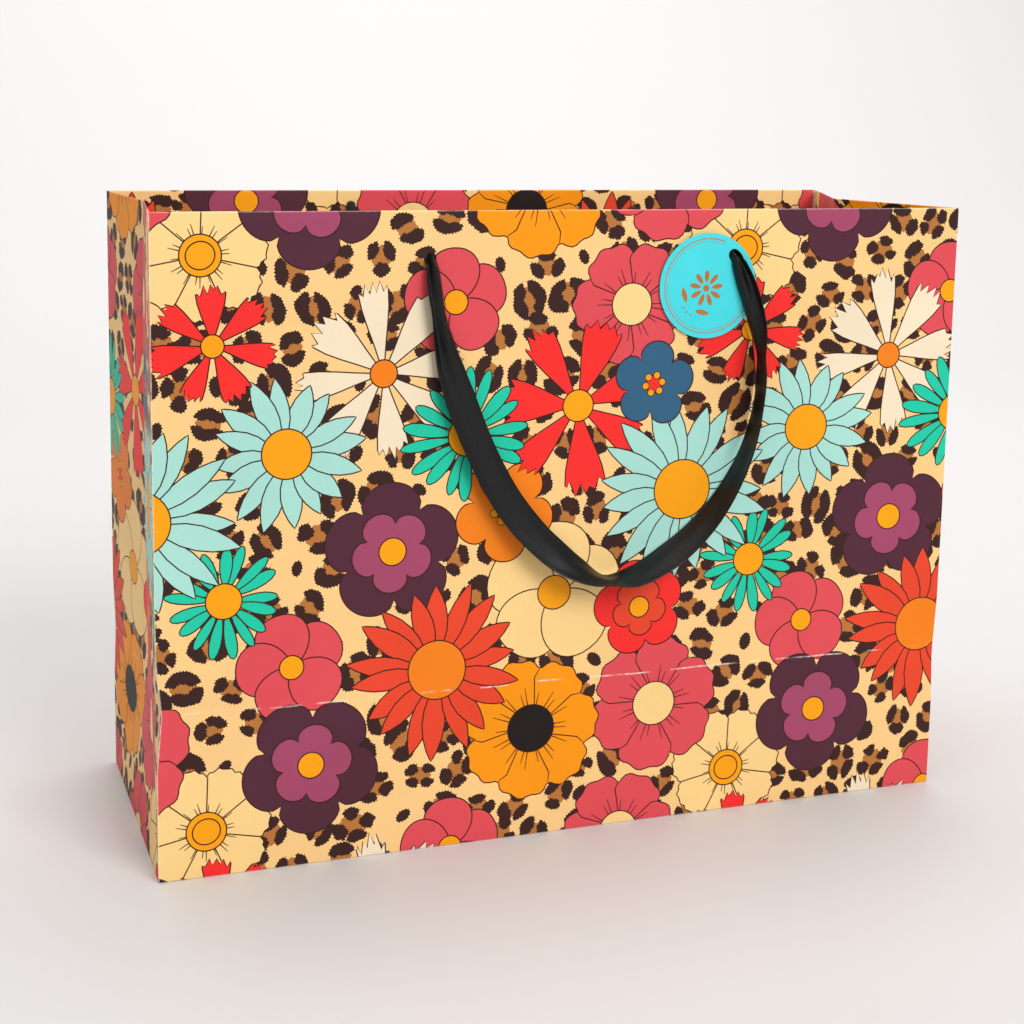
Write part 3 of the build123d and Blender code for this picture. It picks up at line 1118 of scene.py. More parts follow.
@dataclass(frozen=True)
class LaminatedArtPaper:
    """Art paper, offset printed and covered with a satin film."""

    name: str = "laminated_art_paper_offset_printed"
    roughness: float = 0.5
    worn_roughness: float = 0.75
    crease_white: str = "#F4EBDD"
    scuff_grain_mm: float = 2.2
    drift_mm: float = 45.0
    fibre_mm: float = 1.1

    def build(self, shape: BagShape) -> bpy.types.Material:
        """Make the material for the printed faces.

        Args:
            shape: Sizes of the bag, which place the worn creases.

        Returns:
            The material.
        """
        material, tree, shader = new_material(self.name, {"IOR": 1.48, "Specular IOR Level": 0.15})
        ink = add_node(tree, "Attribute", {"attribute_name": "ink"})
        plan = add_node(tree, "UVMap", {"uv_map": "cut_plan"})
        split = add_node(tree, "SeparateXYZ", links={0: plan})
        # A slow drift in tone keeps the large flat inks from looking sprayed on.
        scales = [{"Scale": 1000 / size, "Detail": 2.0} for size in (self.drift_mm, self.fibre_mm)]
        drift, fibre = (
            add_node(tree, "TexNoise", values=scale, links={0: plan}) for scale in scales
        )
        tone, grain = (
            add_node(tree, "MapRange", values={1: 0.3, 2: 0.7, 3: low, 4: high}, links={0: noise})
            for noise, low, high in ((drift, 0.965, 1.035), (fibre, 0.985, 1.015))
        )
        both = add_node(tree, "Math", MULTIPLY, links={0: tone, 1: grain})
        blend = {**COLOUR_MIX, "blend_type": "MULTIPLY"}
        printed = add_node(tree, "Mix", blend, {0: 1.0}, {6: ink, 7: both})
        wear = self._wear(tree, plan, split, shape)
        white = {7: linear(self.crease_white)}
        colour = add_node(tree, "Mix", COLOUR_MIX, white, {0: wear, 6: printed.outputs[2]})
        levels = {3: self.roughness, 4: self.worn_roughness}
        rough = add_node(tree, "MapRange", values=levels, links={0: wear})
        # The film follows the paper's fibres only faintly, so highlights stay soft but not glassy.
        relief = {"Strength": 0.12, "Distance": 0.0001}
        bump = add_node(tree, "Bump", values=relief, links={"Height": fibre})
        join(tree, shader, {"Base Color": colour.outputs[2], "Roughness": rough, "Normal": bump})
        return material

    def _wear(
        self,
        tree: bpy.types.NodeTree,
        plan: bpy.types.Node,
        split: bpy.types.Node,
        shape: BagShape,
    ) -> bpy.types.Node:
        """Broken white lines where a crease has cracked the film and the ink.

        Args:
            tree: Node tree of the material.
            plan: Node that gives the flat coordinates, in metres.
            split: Node that gives the coordinates across and up the sheet apart.
            shape: Sizes of the bag.

        Returns:
            Node whose output is the share of bare paper.
        """
        across, up = split.outputs[0], split.outputs[1]
        # Coordinate, place of the crease, half the width of its wear and how strong that is.
        edges = (
            (across, -shape.half_width, 0.55, 0.95),
            (across, shape.half_width, 0.45, 0.5),
            (across, shape.half_width + 2 * shape.half_depth, 0.5, 0.85),
            (across, shape.half_width + shape.half_depth, 0.35, 0.35),
            (up, 0.0, 0.45, 0.55),
            (up, shape.height, 0.45, 0.45),
        )
        grit = {"Scale": 1000 / self.scuff_grain_mm, "Detail": 3.0}
        speckle = add_node(tree, "TexNoise", values=grit, links={0: plan})
        total: Optional[bpy.types.Node] = None
        for coordinate, place, width, strength in edges:
            subtract = {"operation": "SUBTRACT"}
            away = add_node(tree, "Math", subtract, {1: place * MM}, {0: coordinate})
            size = add_node(tree, "Math", ABSOLUTE, links={0: away})
            fade = {1: 0.0, 2: width * MM, 3: strength, 4: 0.0}
            line = add_node(tree, "MapRange", values=fade, links={0: size})
            if total is None:
                total = line
            else:
                total = add_node(tree, "Math", MAXIMUM, links={0: total, 1: line})
        # The fold-flat crease across the walls wanders a little and shows in short dashes.
        wander = add_node(tree, "TexNoise", values={"Scale": 14.0, "Detail": 3.0}, links={0: plan})
        reach = {1: 0.25, 2: 0.75, 3: -0.0011, 4: 0.0011}
        sway = add_node(tree, "MapRange", values=reach, links={0: wander})
        slant = {1: 0.006, 2: -shape.crease_height * MM}
        tilt = add_node(tree, "Math", {"operation": "MULTIPLY_ADD"}, slant, {0: across})
        swayed = add_node(tree, "Math", ADD, links={0: tilt, 1: sway})
        off = add_node(tree, "Math", ADD, links={0: up, 1: swayed})
        size = add_node(tree, "Math", ABSOLUTE, links={0: off})
        fade = {1: 0.0, 2: 0.00055, 3: 1.0, 4: 0.0}
        crease = add_node(tree, "MapRange", values=fade, links={0: size})
        dashes = add_node(tree, "TexNoise", values={"Scale": 70.0, "Detail": 4.0}, links={0: plan})
        opening = {1: 0.45, 2: 0.56, 3: 0.0, 4: 1.0}
        gate = add_node(tree, "MapRange", values=opening, links={0: dashes})
        broken = add_node(tree, "Math", MULTIPLY, links={0: crease, 1: gate})
        total = add_node(tree, "Math", MAXIMUM, links={0: total, 1: broken})
        mottle = {1: 0.35, 2: 0.6, 3: 0.35, 4: 1.0}
        mottled = add_node(tree, "MapRange", values=mottle, links={0: speckle})
        clamped = {**MULTIPLY, "use_clamp": True}
        return add_node(tree, "Math", clamped, links={0: total, 1: mottled})


@dataclass(frozen=True)
class UncoatedPaper:
    """The unprinted side and raw edges of the paper: matt, white and faintly fibrous."""

    name: str = "uncoated_wood_free_paper"
    colour: str = "#F6F3EE"
    shade: str = "#E9E4DC"
    fibre_mm: float = 1.4
    cloud_mm: float = 25.0

    def build(self) -> bpy.types.Material:
        """Make the material."""
        matt = {"Roughness": 0.82, "Specular IOR Level": 0.3}
        material, tree, shader = new_material(self.name, matt)
        place = add_node(tree, "TexCoord").outputs["Object"]
        scales = (
            {"Scale": 1000 / self.fibre_mm, "Detail": 4.0},
            {"Scale": 1000 / self.cloud_mm, "Detail": 2.0},
        )
        fibre, cloud = (
            add_node(tree, "TexNoise", values=scale, links={0: place}) for scale in scales
        )
        mixed = add_node(tree, "Math", MULTIPLY, links={0: fibre, 1: cloud})
        share = add_node(tree, "MapRange", values={1: 0.12, 2: 0.4}, links={0: mixed})
        colours = {6: linear(self.shade), 7: linear(self.colour)}
        tone = add_node(tree, "Mix", COLOUR_MIX, colours, {0: share})
        relief = {"Strength": 0.3, "Distance": 0.0001}
        bump = add_node(tree, "Bump", values=relief, links={"Height": fibre})
        join(tree, shader, {"Base Color": tone.outputs[2], "Normal": bump})
        return material


@dataclass(frozen=True)
class PressedBoard:
    """Pressed board of the base and the rim: grey-white, with short pulp fibres."""

    name: str
    colour: str
    fleck: str
    fibre_mm: float = 2.5

    def build(self) -> bpy.types.Material:
        """Make the material."""
        matt = {"Roughness": 0.78, "Specular IOR Level": 0.3}
        material, tree, shader = new_material(self.name, matt)
        place = add_node(tree, "TexCoord").outputs["Object"]
        # Fibres lie along the board's length, as the mill's web pulls them.
        stretched = add_node(tree, "Mapping", values={"Scale": (1.0, 3.0, 3.0)}, links={0: place})
        pulp = {"Scale": 1000 / self.fibre_mm, "Detail": 5.0, "Roughness": 0.65}
        fibre = add_node(tree, "TexNoise", values=pulp, links={0: stretched})
        share = add_node(tree, "MapRange", values={1: 0.35, 2: 0.68}, links={0: fibre})
        colours = {6: linear(self.colour), 7: linear(self.fleck)}
        tone = add_node(tree, "Mix", COLOUR_MIX, colours, {0: share})
        relief = {"Strength": 0.35, "Distance": 0.00015}
        bump = add_node(tree, "Bump", values=relief, links={"Height": fibre})
        join(tree, shader, {"Base Color": tone.outputs[2], "Normal": bump})
        return material


@dataclass(frozen=True)
class PolyesterSatin:
    """Woven polyester satin: long floats along the ribbon give a soft streak across it."""

    name: str = "woven_polyester_satin_black"
    colour: str = "#050505"
    lift: str = "#0B0B0B"
    # The real floats are about 0.12 mm apart. They are drawn as bands 2.5 mm apart so that they
    # show: this is the length over which the wave turns one radian.
    radian_mm: float = 0.4

    def build(self) -> bpy.types.Material:
        """Make the material."""
        sheen = {"Sheen Weight": 0.05, "Sheen Roughness": 0.35}
        gloss = {"Roughness": 0.42, "Specular IOR Level": 0.32}
        material, tree, shader = new_material(self.name, {**gloss, **sheen})
        plan = add_node(tree, "UVMap", {"uv_map": "weave"})
        # A wave texture turns 20 radians in each unit of its scale.
        floats = {"Scale": 1000 / self.radian_mm / 20, "Distortion": 1.2}
        floats |= {"Detail": 1.0, "Detail Scale": 2.0}
        bands = {"wave_type": "BANDS", "bands_direction": "X"}
        wave = add_node(tree, "TexWave", bands, floats, {0: plan})
        stretch = {"Scale": (2500.0, 180.0, 1.0)}
        stretched = add_node(tree, "Mapping", values=stretch, links={0: plan})
        uneven = {"Scale": 1.0, "Detail": 2.0}
        slub = add_node(tree, "TexNoise", values=uneven, links={0: stretched})
        height = add_node(tree, "Math", ADD, links={0: wave.outputs[1], 1: slub})
        share = add_node(tree, "MapRange", values={1: 0.5, 2: 1.6}, links={0: height})
        colours = {6: linear(self.colour), 7: linear(self.lift)}
        tone = add_node(tree, "Mix", COLOUR_MIX, colours, {0: share})
        relief = {"Strength": 0.12, "Distance": 0.0001}
        bump = add_node(tree, "Bump", values=relief, links={"Height": height})
        join(tree, shader, {"Base Color": tone.outputs[2], "Normal": bump})
        return material


@dataclass(frozen=True)
class DyedArtCard:
    """Thick art card printed one flat colour: smooth, under a thin clear varnish."""

    name: str = "coated_art_card_turquoise"
    colour: str = "#2FD3DE"
    cloud: str = "#45DEE6"

    def build(self) -> bpy.types.Material:
        """Make the material."""
        varnish = {"Roughness": 0.45, "Coat Weight": 0.1, "Coat Roughness": 0.35}
        material, tree, shader = new_material(self.name, varnish)
        place = add_node(tree, "TexCoord").outputs["Object"]
        cloud, fibre = (
            add_node(tree, "TexNoise", values={"Scale": scale, "Detail": 3.0}, links={0: place})
            for scale in (60.0, 900.0)
        )
        colours = {6: linear(self.colour), 7: linear(self.cloud)}
        tone = add_node(tree, "Mix", COLOUR_MIX, colours, {0: cloud})
        relief = {"Strength": 0.15, "Distance": 0.0001}
        bump = add_node(tree, "Bump", values=relief, links={"Height": fibre})
        join(tree, shader, {"Base Color": tone.outputs[2], "Normal": bump})
        return material


@dataclass(frozen=True)
class HotStampedFoil:
    """Copper-coloured foil pressed into the card: a true metal, slightly uneven."""

    name: str = "hot_stamped_copper_foil"
    colour: str = "#C98A4E"

    def build(self) -> bpy.types.Material:
        """Make the material."""
        metal = {"Base Color": linear(self.colour), "Metallic": 1.0}
        material, tree, shader = new_material(self.name, metal)
        place = add_node(tree, "TexCoord").outputs["Object"]
        grit = {"Scale": 1500.0, "Detail": 2.0}
        grain = add_node(tree, "TexNoise", values=grit, links={0: place})
        levels = {1: 0.3, 2: 0.7, 3: 0.26, 4: 0.42}
        rough = add_node(tree, "MapRange", values=levels, links={0: grain})
        join(tree, shader, {"Roughness": rough})
        return material


@dataclass(frozen=True)
class MouldedPolypropylene:
    """Injection-moulded polypropylene: black, with the faint waviness of a cooled skin."""

    name: str = "moulded_polypropylene_black"
    colour: str = "#0B0B0C"
    cloud: str = "#161617"

    def build(self) -> bpy.types.Material:
        """Make the material."""
        material, tree, shader = new_material(self.name, {})
        place = add_node(tree, "TexCoord").outputs["Object"]
        skin = add_node(tree, "TexNoise", values={"Scale": 420.0, "Detail": 3.0}, links={0: place})
        colours = {6: linear(self.colour), 7: linear(self.cloud)}
        tone = add_node(tree, "Mix", COLOUR_MIX, colours, {0: skin})
        levels = {1: 0.3, 2: 0.7, 3: 0.32, 4: 0.45}
        rough = add_node(tree, "MapRange", values=levels, links={0: skin})
        relief = {"Strength": 0.2, "Distance": 0.0002}
        bump = add_node(tree, "Bump", values=relief, links={"Height": skin})
        join(tree, shader, {"Base Color": tone.outputs[2], "Roughness": rough, "Normal": bump})
        return material


# --- Sub-assemblies ---


@dataclass
class PaperShell:
    """The two printed sheets that make the walls, gussets, hems and bottom of the bag."""

    shape: BagShape
    bend_spacing: float = 9.0
    inner_spacing: float = 8.0
    hole_corners: int = 28
    print_seed: int = 11

    def build(self) -> list[bpy.types.Object]:
        """Fold both sheets and let them stand for their plates.

        Returns:
            The two pieces.
        """
        printed = LaminatedArtPaper().build(self.shape)
        bare = UncoatedPaper().build()
        front = FoldedSheet(self.shape, self.shape.right_tuck, False, 0.0)
        back = FoldedSheet(self.shape, self.shape.left_tuck, True, 0.33)
        printed_face, bare_face = self._cut_flat(front)
        made = []
        for wall, other, sheet in (("front", "right", front), ("back", "left", back)):
            tab = "back" if wall == "front" else "front"
            name = f"{wall}_printed_sheet"
            piece = self._fold_sheet(name, sheet, (printed_face, bare_face), [printed, bare])
            plates = [f"{wall}_panel", f"{wall}_hem", f"{wall}_bottom_flap", f"{other}_bottom_flap"]
            plates += [f"{other}_gusset_{half}" for half in ("front", "back", "base")]
            plates += [f"{other}_gusset_{half}_hem" for half in ("front", "back")]
            plates.append(f"{tab}_glue_tab")
            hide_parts(*plates)
            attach(piece, "bag")
            made.append(piece)
        return made

    def _holes(self) -> list[Points]:
        """Outlines of the handle holes through the wall and through the hem behind it."""
        s = self.shape
        through = s.height - s.hole_drop
        behind = s.height + s.rim + s.hole_drop
        ring = disc(s.hole_radius, self.hole_corners)
        return [placed(ring, (x, y), 0) for x in (-s.hole_x, s.hole_x) for y in (through, behind)]

    def _cut_flat(self, sheet: FoldedSheet) -> tuple[FlatMesh, FlatMesh]:
        """Print and punch the flat sheet, which is the same for both halves of the bag.

        Args:
            sheet: Either sheet.

        Returns:
            Triangles of the printed face and of the bare face.
        """
        outline = divided(sheet.outline(), self.bend_spacing)
        pattern = PrintedPattern(outline.min(axis=0), outline.max(axis=0), self.print_seed)
        holes = self._holes()
        inks = list(Ink)
        labels = [inks.index(ink) for ink in [Ink.GROUND] + pattern.inks] + [-1] * len(holes)
        folds = sheet.folds()
        fills = pattern.outlines + holes
        printed = triangulate(outline, fills, labels, folds, self.bend_spacing)
        bare = triangulate(outline, holes, [0] + [-1] * len(holes), folds, self.inner_spacing)
        counts = len(printed.triangles), len(bare.triangles)
        log.info("flat sheet: %d printed triangles, %d bare ones", *counts)
        return printed, bare

    def _fold_sheet(
        self,
        name: str,
        sheet: FoldedSheet,
        faces_of: tuple[FlatMesh, FlatMesh],
        finishes: list[bpy.types.Material],
    ) -> bpy.types.Object:
        """Fold the flat sheet and give it its bare side and raw edges.

        Args:
            name: Name of the piece.
            sheet: How it folds.
            faces_of: Triangles of the printed face and of the bare face.
            finishes: Materials of the printed face and of the bare paper.

        Returns:
            The folded piece.
        """
        front, back = faces_of
        front_places = sheet.fold(front.points)
        front_normals = sheet.face_normals(front.points)
        back_normals = sheet.face_normals(back.points)
        back_places = sheet.fold(back.points) - self.shape.paper * back_normals
        rim_edges = self._boundary(front.triangles)
        rim = np.unique(rim_edges)
        number = {corner: place for place, corner in enumerate(rim)}
        rim_top = front_places[rim]
        rim_low = rim_top - self.shape.paper * front_normals[rim]
        below = len(rim)
        pairs = [(number[a], number[b]) for a, b in rim_edges]
        side = [(a, b, b + below, a + below) for a, b in pairs]
        start_back = len(front_places)
        start_rim = start_back + len(back_places)
        faces = [tuple(t) for t in front.triangles]
        faces += [tuple(t[::-1] + start_back) for t in back.triangles]
        faces += [tuple(n + start_rim for n in quad[::-1]) for quad in side]
        slots = [0] * len(front.triangles) + [1] * (len(back.triangles) + len(side))
        places = np.concatenate([front_places, back_places, rim_top, rim_low])
        edge_out = self._edge_normals(rim_edges, number, rim_top, front_normals[rim])
        normals = np.concatenate([front_normals, -back_normals, edge_out, edge_out])
        flat = np.concatenate([front.points, back.points, front.points[rim], front.points[rim]])
        piece = mesh_object(name, places, faces, finishes, np.array(slots), normals)
        set_map(piece, "OFBake", self._bake_map(flat, len(front_places)))
        set_map(piece, "cut_plan", flat * MM)
        colours = np.array([linear(ink.value) for ink in Ink])[front.label]
        unprinted = len(faces) - len(front.triangles)
        white = np.repeat([linear(UncoatedPaper.colour)], unprinted, axis=0)
        colours = np.concatenate([colours, white])
        set_inks(piece, colours)
        return piece

    @staticmethod
    def _boundary(triangles: Points) -> Points:
        """Edges that belong to one triangle, in that triangle's direction."""
        edges = np.concatenate([triangles[:, [0, 1]], triangles[:, [1, 2]], triangles[:, [2, 0]]])
        ordered = np.sort(edges, axis=1)
        _, first, count = np.unique(ordered, axis=0, return_index=True, return_counts=True)
        return edges[first[count == 1]]

    @staticmethod
    def _edge_normals(
        edges: Points, number: dict[int, int], places: Points, face: Points
    ) -> Points:
        """Normals that point out of the raw edge at each of its points."""
        total = np.zeros_like(places)
        for a, b in edges:
            i, j = number[a], number[b]
            out = np.cross(places[j] - places[i], face[i])
            total[i] += out
            total[j] += out
        return unit(total)

    @staticmethod
    def _bake_map(flat: Points, printed: int) -> Points:
        """Lay the printed face in most of the unit square and the bare side in the rest."""
        low, high = flat.min(axis=0), flat.max(axis=0)
        share = (flat - low) / (high - low)
        laid = np.empty_like(share)
        laid[:printed] = share[:printed] * (0.98, 0.66) + (0.01, 0.01)
        laid[printed:] = share[printed:] * (0.98, 0.29) + (0.01, 0.70)
        return laid


@dataclass
class RibbonHandle:
    """One satin ribbon, gathered through two holes and hanging in a twisted loop.

    The route is given as places across the bag, below the swing axis and in front of the plane
    that the loop swings in. The loop for the back of the bag is turned half round.
    """

    wall: str
    shape: BagShape
    axis_y: float = 74.833
    axis_z: float = 283.0
    width: float = 16.0
    thickness: float = 0.36
    columns: int = 16
    pleats: float = 2.5
    inner_end: float = 70.0
    # Rows of the band between its necks, and share of the hanging line where each neck begins.
    rows: int = 230
    neck_share: float = 0.011
    neck_lift: float = 0.6
    # The tag's middle, how far round it the band keeps off the wall, and by how much.
    tag_place: Pair = (63.1, 268.1)
    tag_reach: float = 28.0
    tag_clearance: float = 1.75
    wall_clearance: float = 0.5
    route: tuple[tuple[float, float, float], ...] = (
        (-76.5, 0.0, 1.2),
        (-74.0, -21.0, 1.6),
        (-69.5, -45.0, 1.8),
        (-61.0, -69.0, 1.6),
        (-50.5, -94.0, 1.8),
        (-35.0, -121.0, 2.6),
        (-11.5, -145.0, 5.0),
        (17.5, -159.0, 6.6),
        (50.0, -143.5, 5.0),
        (73.0, -120.0, 3.4),
        (87.5, -89.0, 5.0),
        (91.0, -57.0, 6.6),
        (87.0, -26.0, 4.6),
        (76.5, 0.0, 1.6),
    )
    # Share of the length, and how far the band has turned from edge-on to flat on the wall.
    twist: tuple[Pair, ...] = (
        (0.0, 90), (0.06, 62), (0.105, 100), (0.15, 84), (0.25, 80), (0.34, 78),
        (0.41, 64), (0.455, 36), (0.488, 2), (0.52, 20), (0.58, 32), (0.65, 24),
        (0.72, 8), (0.8, -8), (0.87, -8), (0.93, 46), (1.0, 90),
    )
    # Share of the length, and share of its full width that the band is gathered to.
    gather: tuple[Pair, ...] = (
        (0.0, 0.34), (0.02, 0.48), (0.05, 0.62), (0.08, 0.56), (0.11, 0.64), (0.135, 0.84),
        (0.17, 0.97), (0.85, 1.0), (0.89, 0.86), (0.93, 0.66), (0.965, 0.58), (0.985, 0.44),
        (1.0, 0.32),
    )

    def build(self) -> bpy.types.Object:
        """Returns:
            The ribbon.
        """
        path = self._hanging_line()
        centre, shares = self._with_necks(path)
        places, plan, faces = self._band(centre, shares)
        satin = PolyesterSatin().build()
        piece = mesh_object(f"{self.wall}_satin_ribbon", self._turned(places), faces, [satin])
        set_map(piece, "weave", plan * MM)
        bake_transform(piece)
        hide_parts(f"{self.wall}_ribbon", f"{self.wall}_ribbon_ends")
        world = self._turned(path) * MM
        length = float(np.linalg.norm(np.diff(world, axis=0), axis=1).sum())
        log.info("%s ribbon line: %.1f mm", self.wall, length / MM)
        return piece

    def _turned(self, places: Points) -> Points:
        """Turn points half round for the back of the bag."""
        return places if self.wall == "front" else places * np.array([-1.0, -1.0, 1.0])

    def _hanging_line(self) -> Points:
        """Smooth line of the loop, from a NURBS spline through the route's control points."""
        line = bpy.data.curves.new("route", "CURVE")
        line.dimensions = "3D"
        spline = line.splines.new("NURBS")
        spline.points.add(len(self.route) - 1)
        for point, (across, drop, stand) in zip(spline.points, self.route):
            lean = self.axis_y + stand - self.shape.slope * drop
            point.co = (across, -lean, self.axis_z + drop, 1.0)
        spline.order_u = 3
        spline.use_endpoint_u = True
        spline.resolution_u = 16
        holder = bpy.data.objects.new("route", line)
        bpy.context.scene.collection.objects.link(holder)
        bpy.context.view_layer.update()
        graph = bpy.context.evaluated_depsgraph_get()
        mesh = bpy.data.meshes.new_from_object(holder.evaluated_get(graph))
        found = np.array([vertex.co for vertex in mesh.vertices])
        bpy.data.objects.remove(holder)
        bpy.data.curves.remove(line)
        bpy.data.meshes.remove(mesh)
        return found

    def _with_necks(self, path: Points) -> tuple[Points, Points]:
        """Add the short turns at both ends, where the ribbon goes through its hole to its bar.

        Args:
            path: Points of the hanging line.

        Returns:
            Points of the whole centreline, and the share of the hanging length at each.
        """
        run = run_along(path)
        share = run / run[-1]
        even = np.linspace(self.neck_share, 1 - self.neck_share, self.rows)
        smooth = np.stack([np.interp(even, share, path[:, k]) for k in range(3)], axis=1)
        ends = []
        for place, at in ((smooth[0], path[0]), (smooth[-1], path[-1])):
            level = self.axis_z + self.neck_lift
            radius = level - place[2]
            straight = np.linspace(-self.inner_end, place[1] + radius, 6)[:-1]
            neck = [(at[0], y, level) for y in straight]
            for angle in np.linspace(0, pi / 2, 7)[:-1]:
                x = at[0] + (place[0] - at[0]) * (1 - cos(angle))
                y = place[1] + radius * (1 - sin(angle))
                neck.append((x, y, place[2] + radius * cos(angle)))
            ends.append(np.array(neck))
        centre = np.concatenate([ends[0], smooth, ends[1][::-1]])
        shares = np.concatenate([np.zeros(len(ends[0])), even, np.ones(len(ends[1]))])
        return centre, shares

    def _band(self, centre: Points, shares: Points) -> tuple[Points, Points, list[tuple[int, ...]]]:
        """Points, flat plan and faces of the band round its centreline.

        Args:
            centre: Points of the centreline.
            shares: Share of the hanging length at each.

        Returns:
            Points, their place on the flat ribbon, and the faces.
        """
        along = unit(np.gradient(centre, axis=0))
        outward = np.array([0.0, -1.0, self.shape.slope])
        outer = np.cross(along, outward)
        weak = np.linalg.norm(outer, axis=1) < 0.45
        good = np.nonzero(~weak)[0]
        outer[: good[0]] = outer[good[0]]
        outer[good[-1] + 1:] = outer[good[-1]]
        outer = unit(outer - along * np.sum(outer * along, axis=1, keepdims=True))
        stand = np.cross(outer, along)
        angle = np.radians(self._eased(self.twist, shares))[:, None]
        across = np.cos(angle) * stand + np.sin(angle) * outer
        normal = np.cross(along, across)
        share_of_width = self._eased(self.gather, shares)
        step = np.linspace(-0.5, 0.5, self.columns + 1)
        slack = np.sqrt(2 * np.clip(1 - share_of_width**2, 0, 1))
        depth = self.width / (pi * self.pleats) * slack * 0.62
        drift = 0.9 * np.sin(9 * shares)
        wave = np.cos(pi * self.pleats * (step[None, :] + 0.5) + drift[:, None]) * depth[:, None]
        crown = 0.35 * (0.25 - step[None, :] ** 2) * 4 * (share_of_width[:, None] - 0.3)
        side = step[None, :] * self.width * share_of_width[:, None]
        middle = centre[:, None, :] + side[..., None] * across[:, None, :]
        middle = self._rested(middle + (wave + crown)[..., None] * normal[:, None, :], shares)
        face = unit(np.cross(np.gradient(middle, axis=0), np.gradient(middle, axis=1)))
        thinned = np.minimum(1.0, 0.55 + 12 * (0.5 - np.abs(step)))
        half = self.thickness / 2 * thinned[None, :, None]
        rows, wide = middle.shape[0], middle.shape[1]
        sides = [(middle + half * face).reshape(-1, 3), (middle - half * face).reshape(-1, 3)]
        places = np.concatenate(sides)
        run = run_along(centre)
        plan = np.broadcast_arrays(step[None, :] * self.width, run[:, None])
        flat = np.stack(plan, axis=-1).reshape(-1, 2)
        below = rows * wide
        faces = []
        for row in range(rows - 1):
            for column in range(wide - 1):
                a, b = row * wide + column, row * wide + column + 1
                c, d = b + wide, a + wide
                faces += [(a, d, c, b), (a + below, b + below, c + below, d + below)]
            left, right = row * wide, row * wide + wide - 1
            faces.append((left, left + below, left + wide + below, left + wide))
            faces.append((right, right + wide, right + wide + below, right + below))
        for row in (0, rows - 1):
            for column in range(wide - 1):
                a, b = row * wide + column, row * wide + column + 1
                end = (a, b, b + below, a + below)
                faces.append(end if row == 0 else (a, end[3], end[2], b))
        return places, np.concatenate([flat, flat]), faces

    @staticmethod
    def _eased(table: tuple[Pair, ...], shares: Points) -> Points:
        """Values of a table at given shares, smoothed so that the band never kinks."""
        fine = np.linspace(-0.03, 1.03, 400)
        keys = np.array(table)
        values = np.interp(fine, keys[:, 0], keys[:, 1])
        window = np.hanning(11)
        padded = np.pad(values, 5, mode="edge")
        smooth = np.convolve(padded, window / window.sum(), mode="valid")
        return np.interp(shares, fine, smooth)

    def _rested(self, middle: Points, shares: Points) -> Points:
        """Keep the hanging band just off the wall, and off the tag where that hangs behind it."""
        hanging = ((shares > 0.012) & (shares < 0.988))[:, None]
        from_tag = np.hypot(middle[..., 0] - self.tag_place[0], middle[..., 2] - self.tag_place[1])
        over_tag = (from_tag < self.tag_reach) & (self.wall == "front")
        clear = np.where(over_tag, self.tag_clearance, self.wall_clearance)
        furthest = -(self.shape.wall(middle[..., 2]) + clear)
        middle[..., 1] = np.where(hanging, np.minimum(middle[..., 1], furthest), middle[..., 1])
        return middle


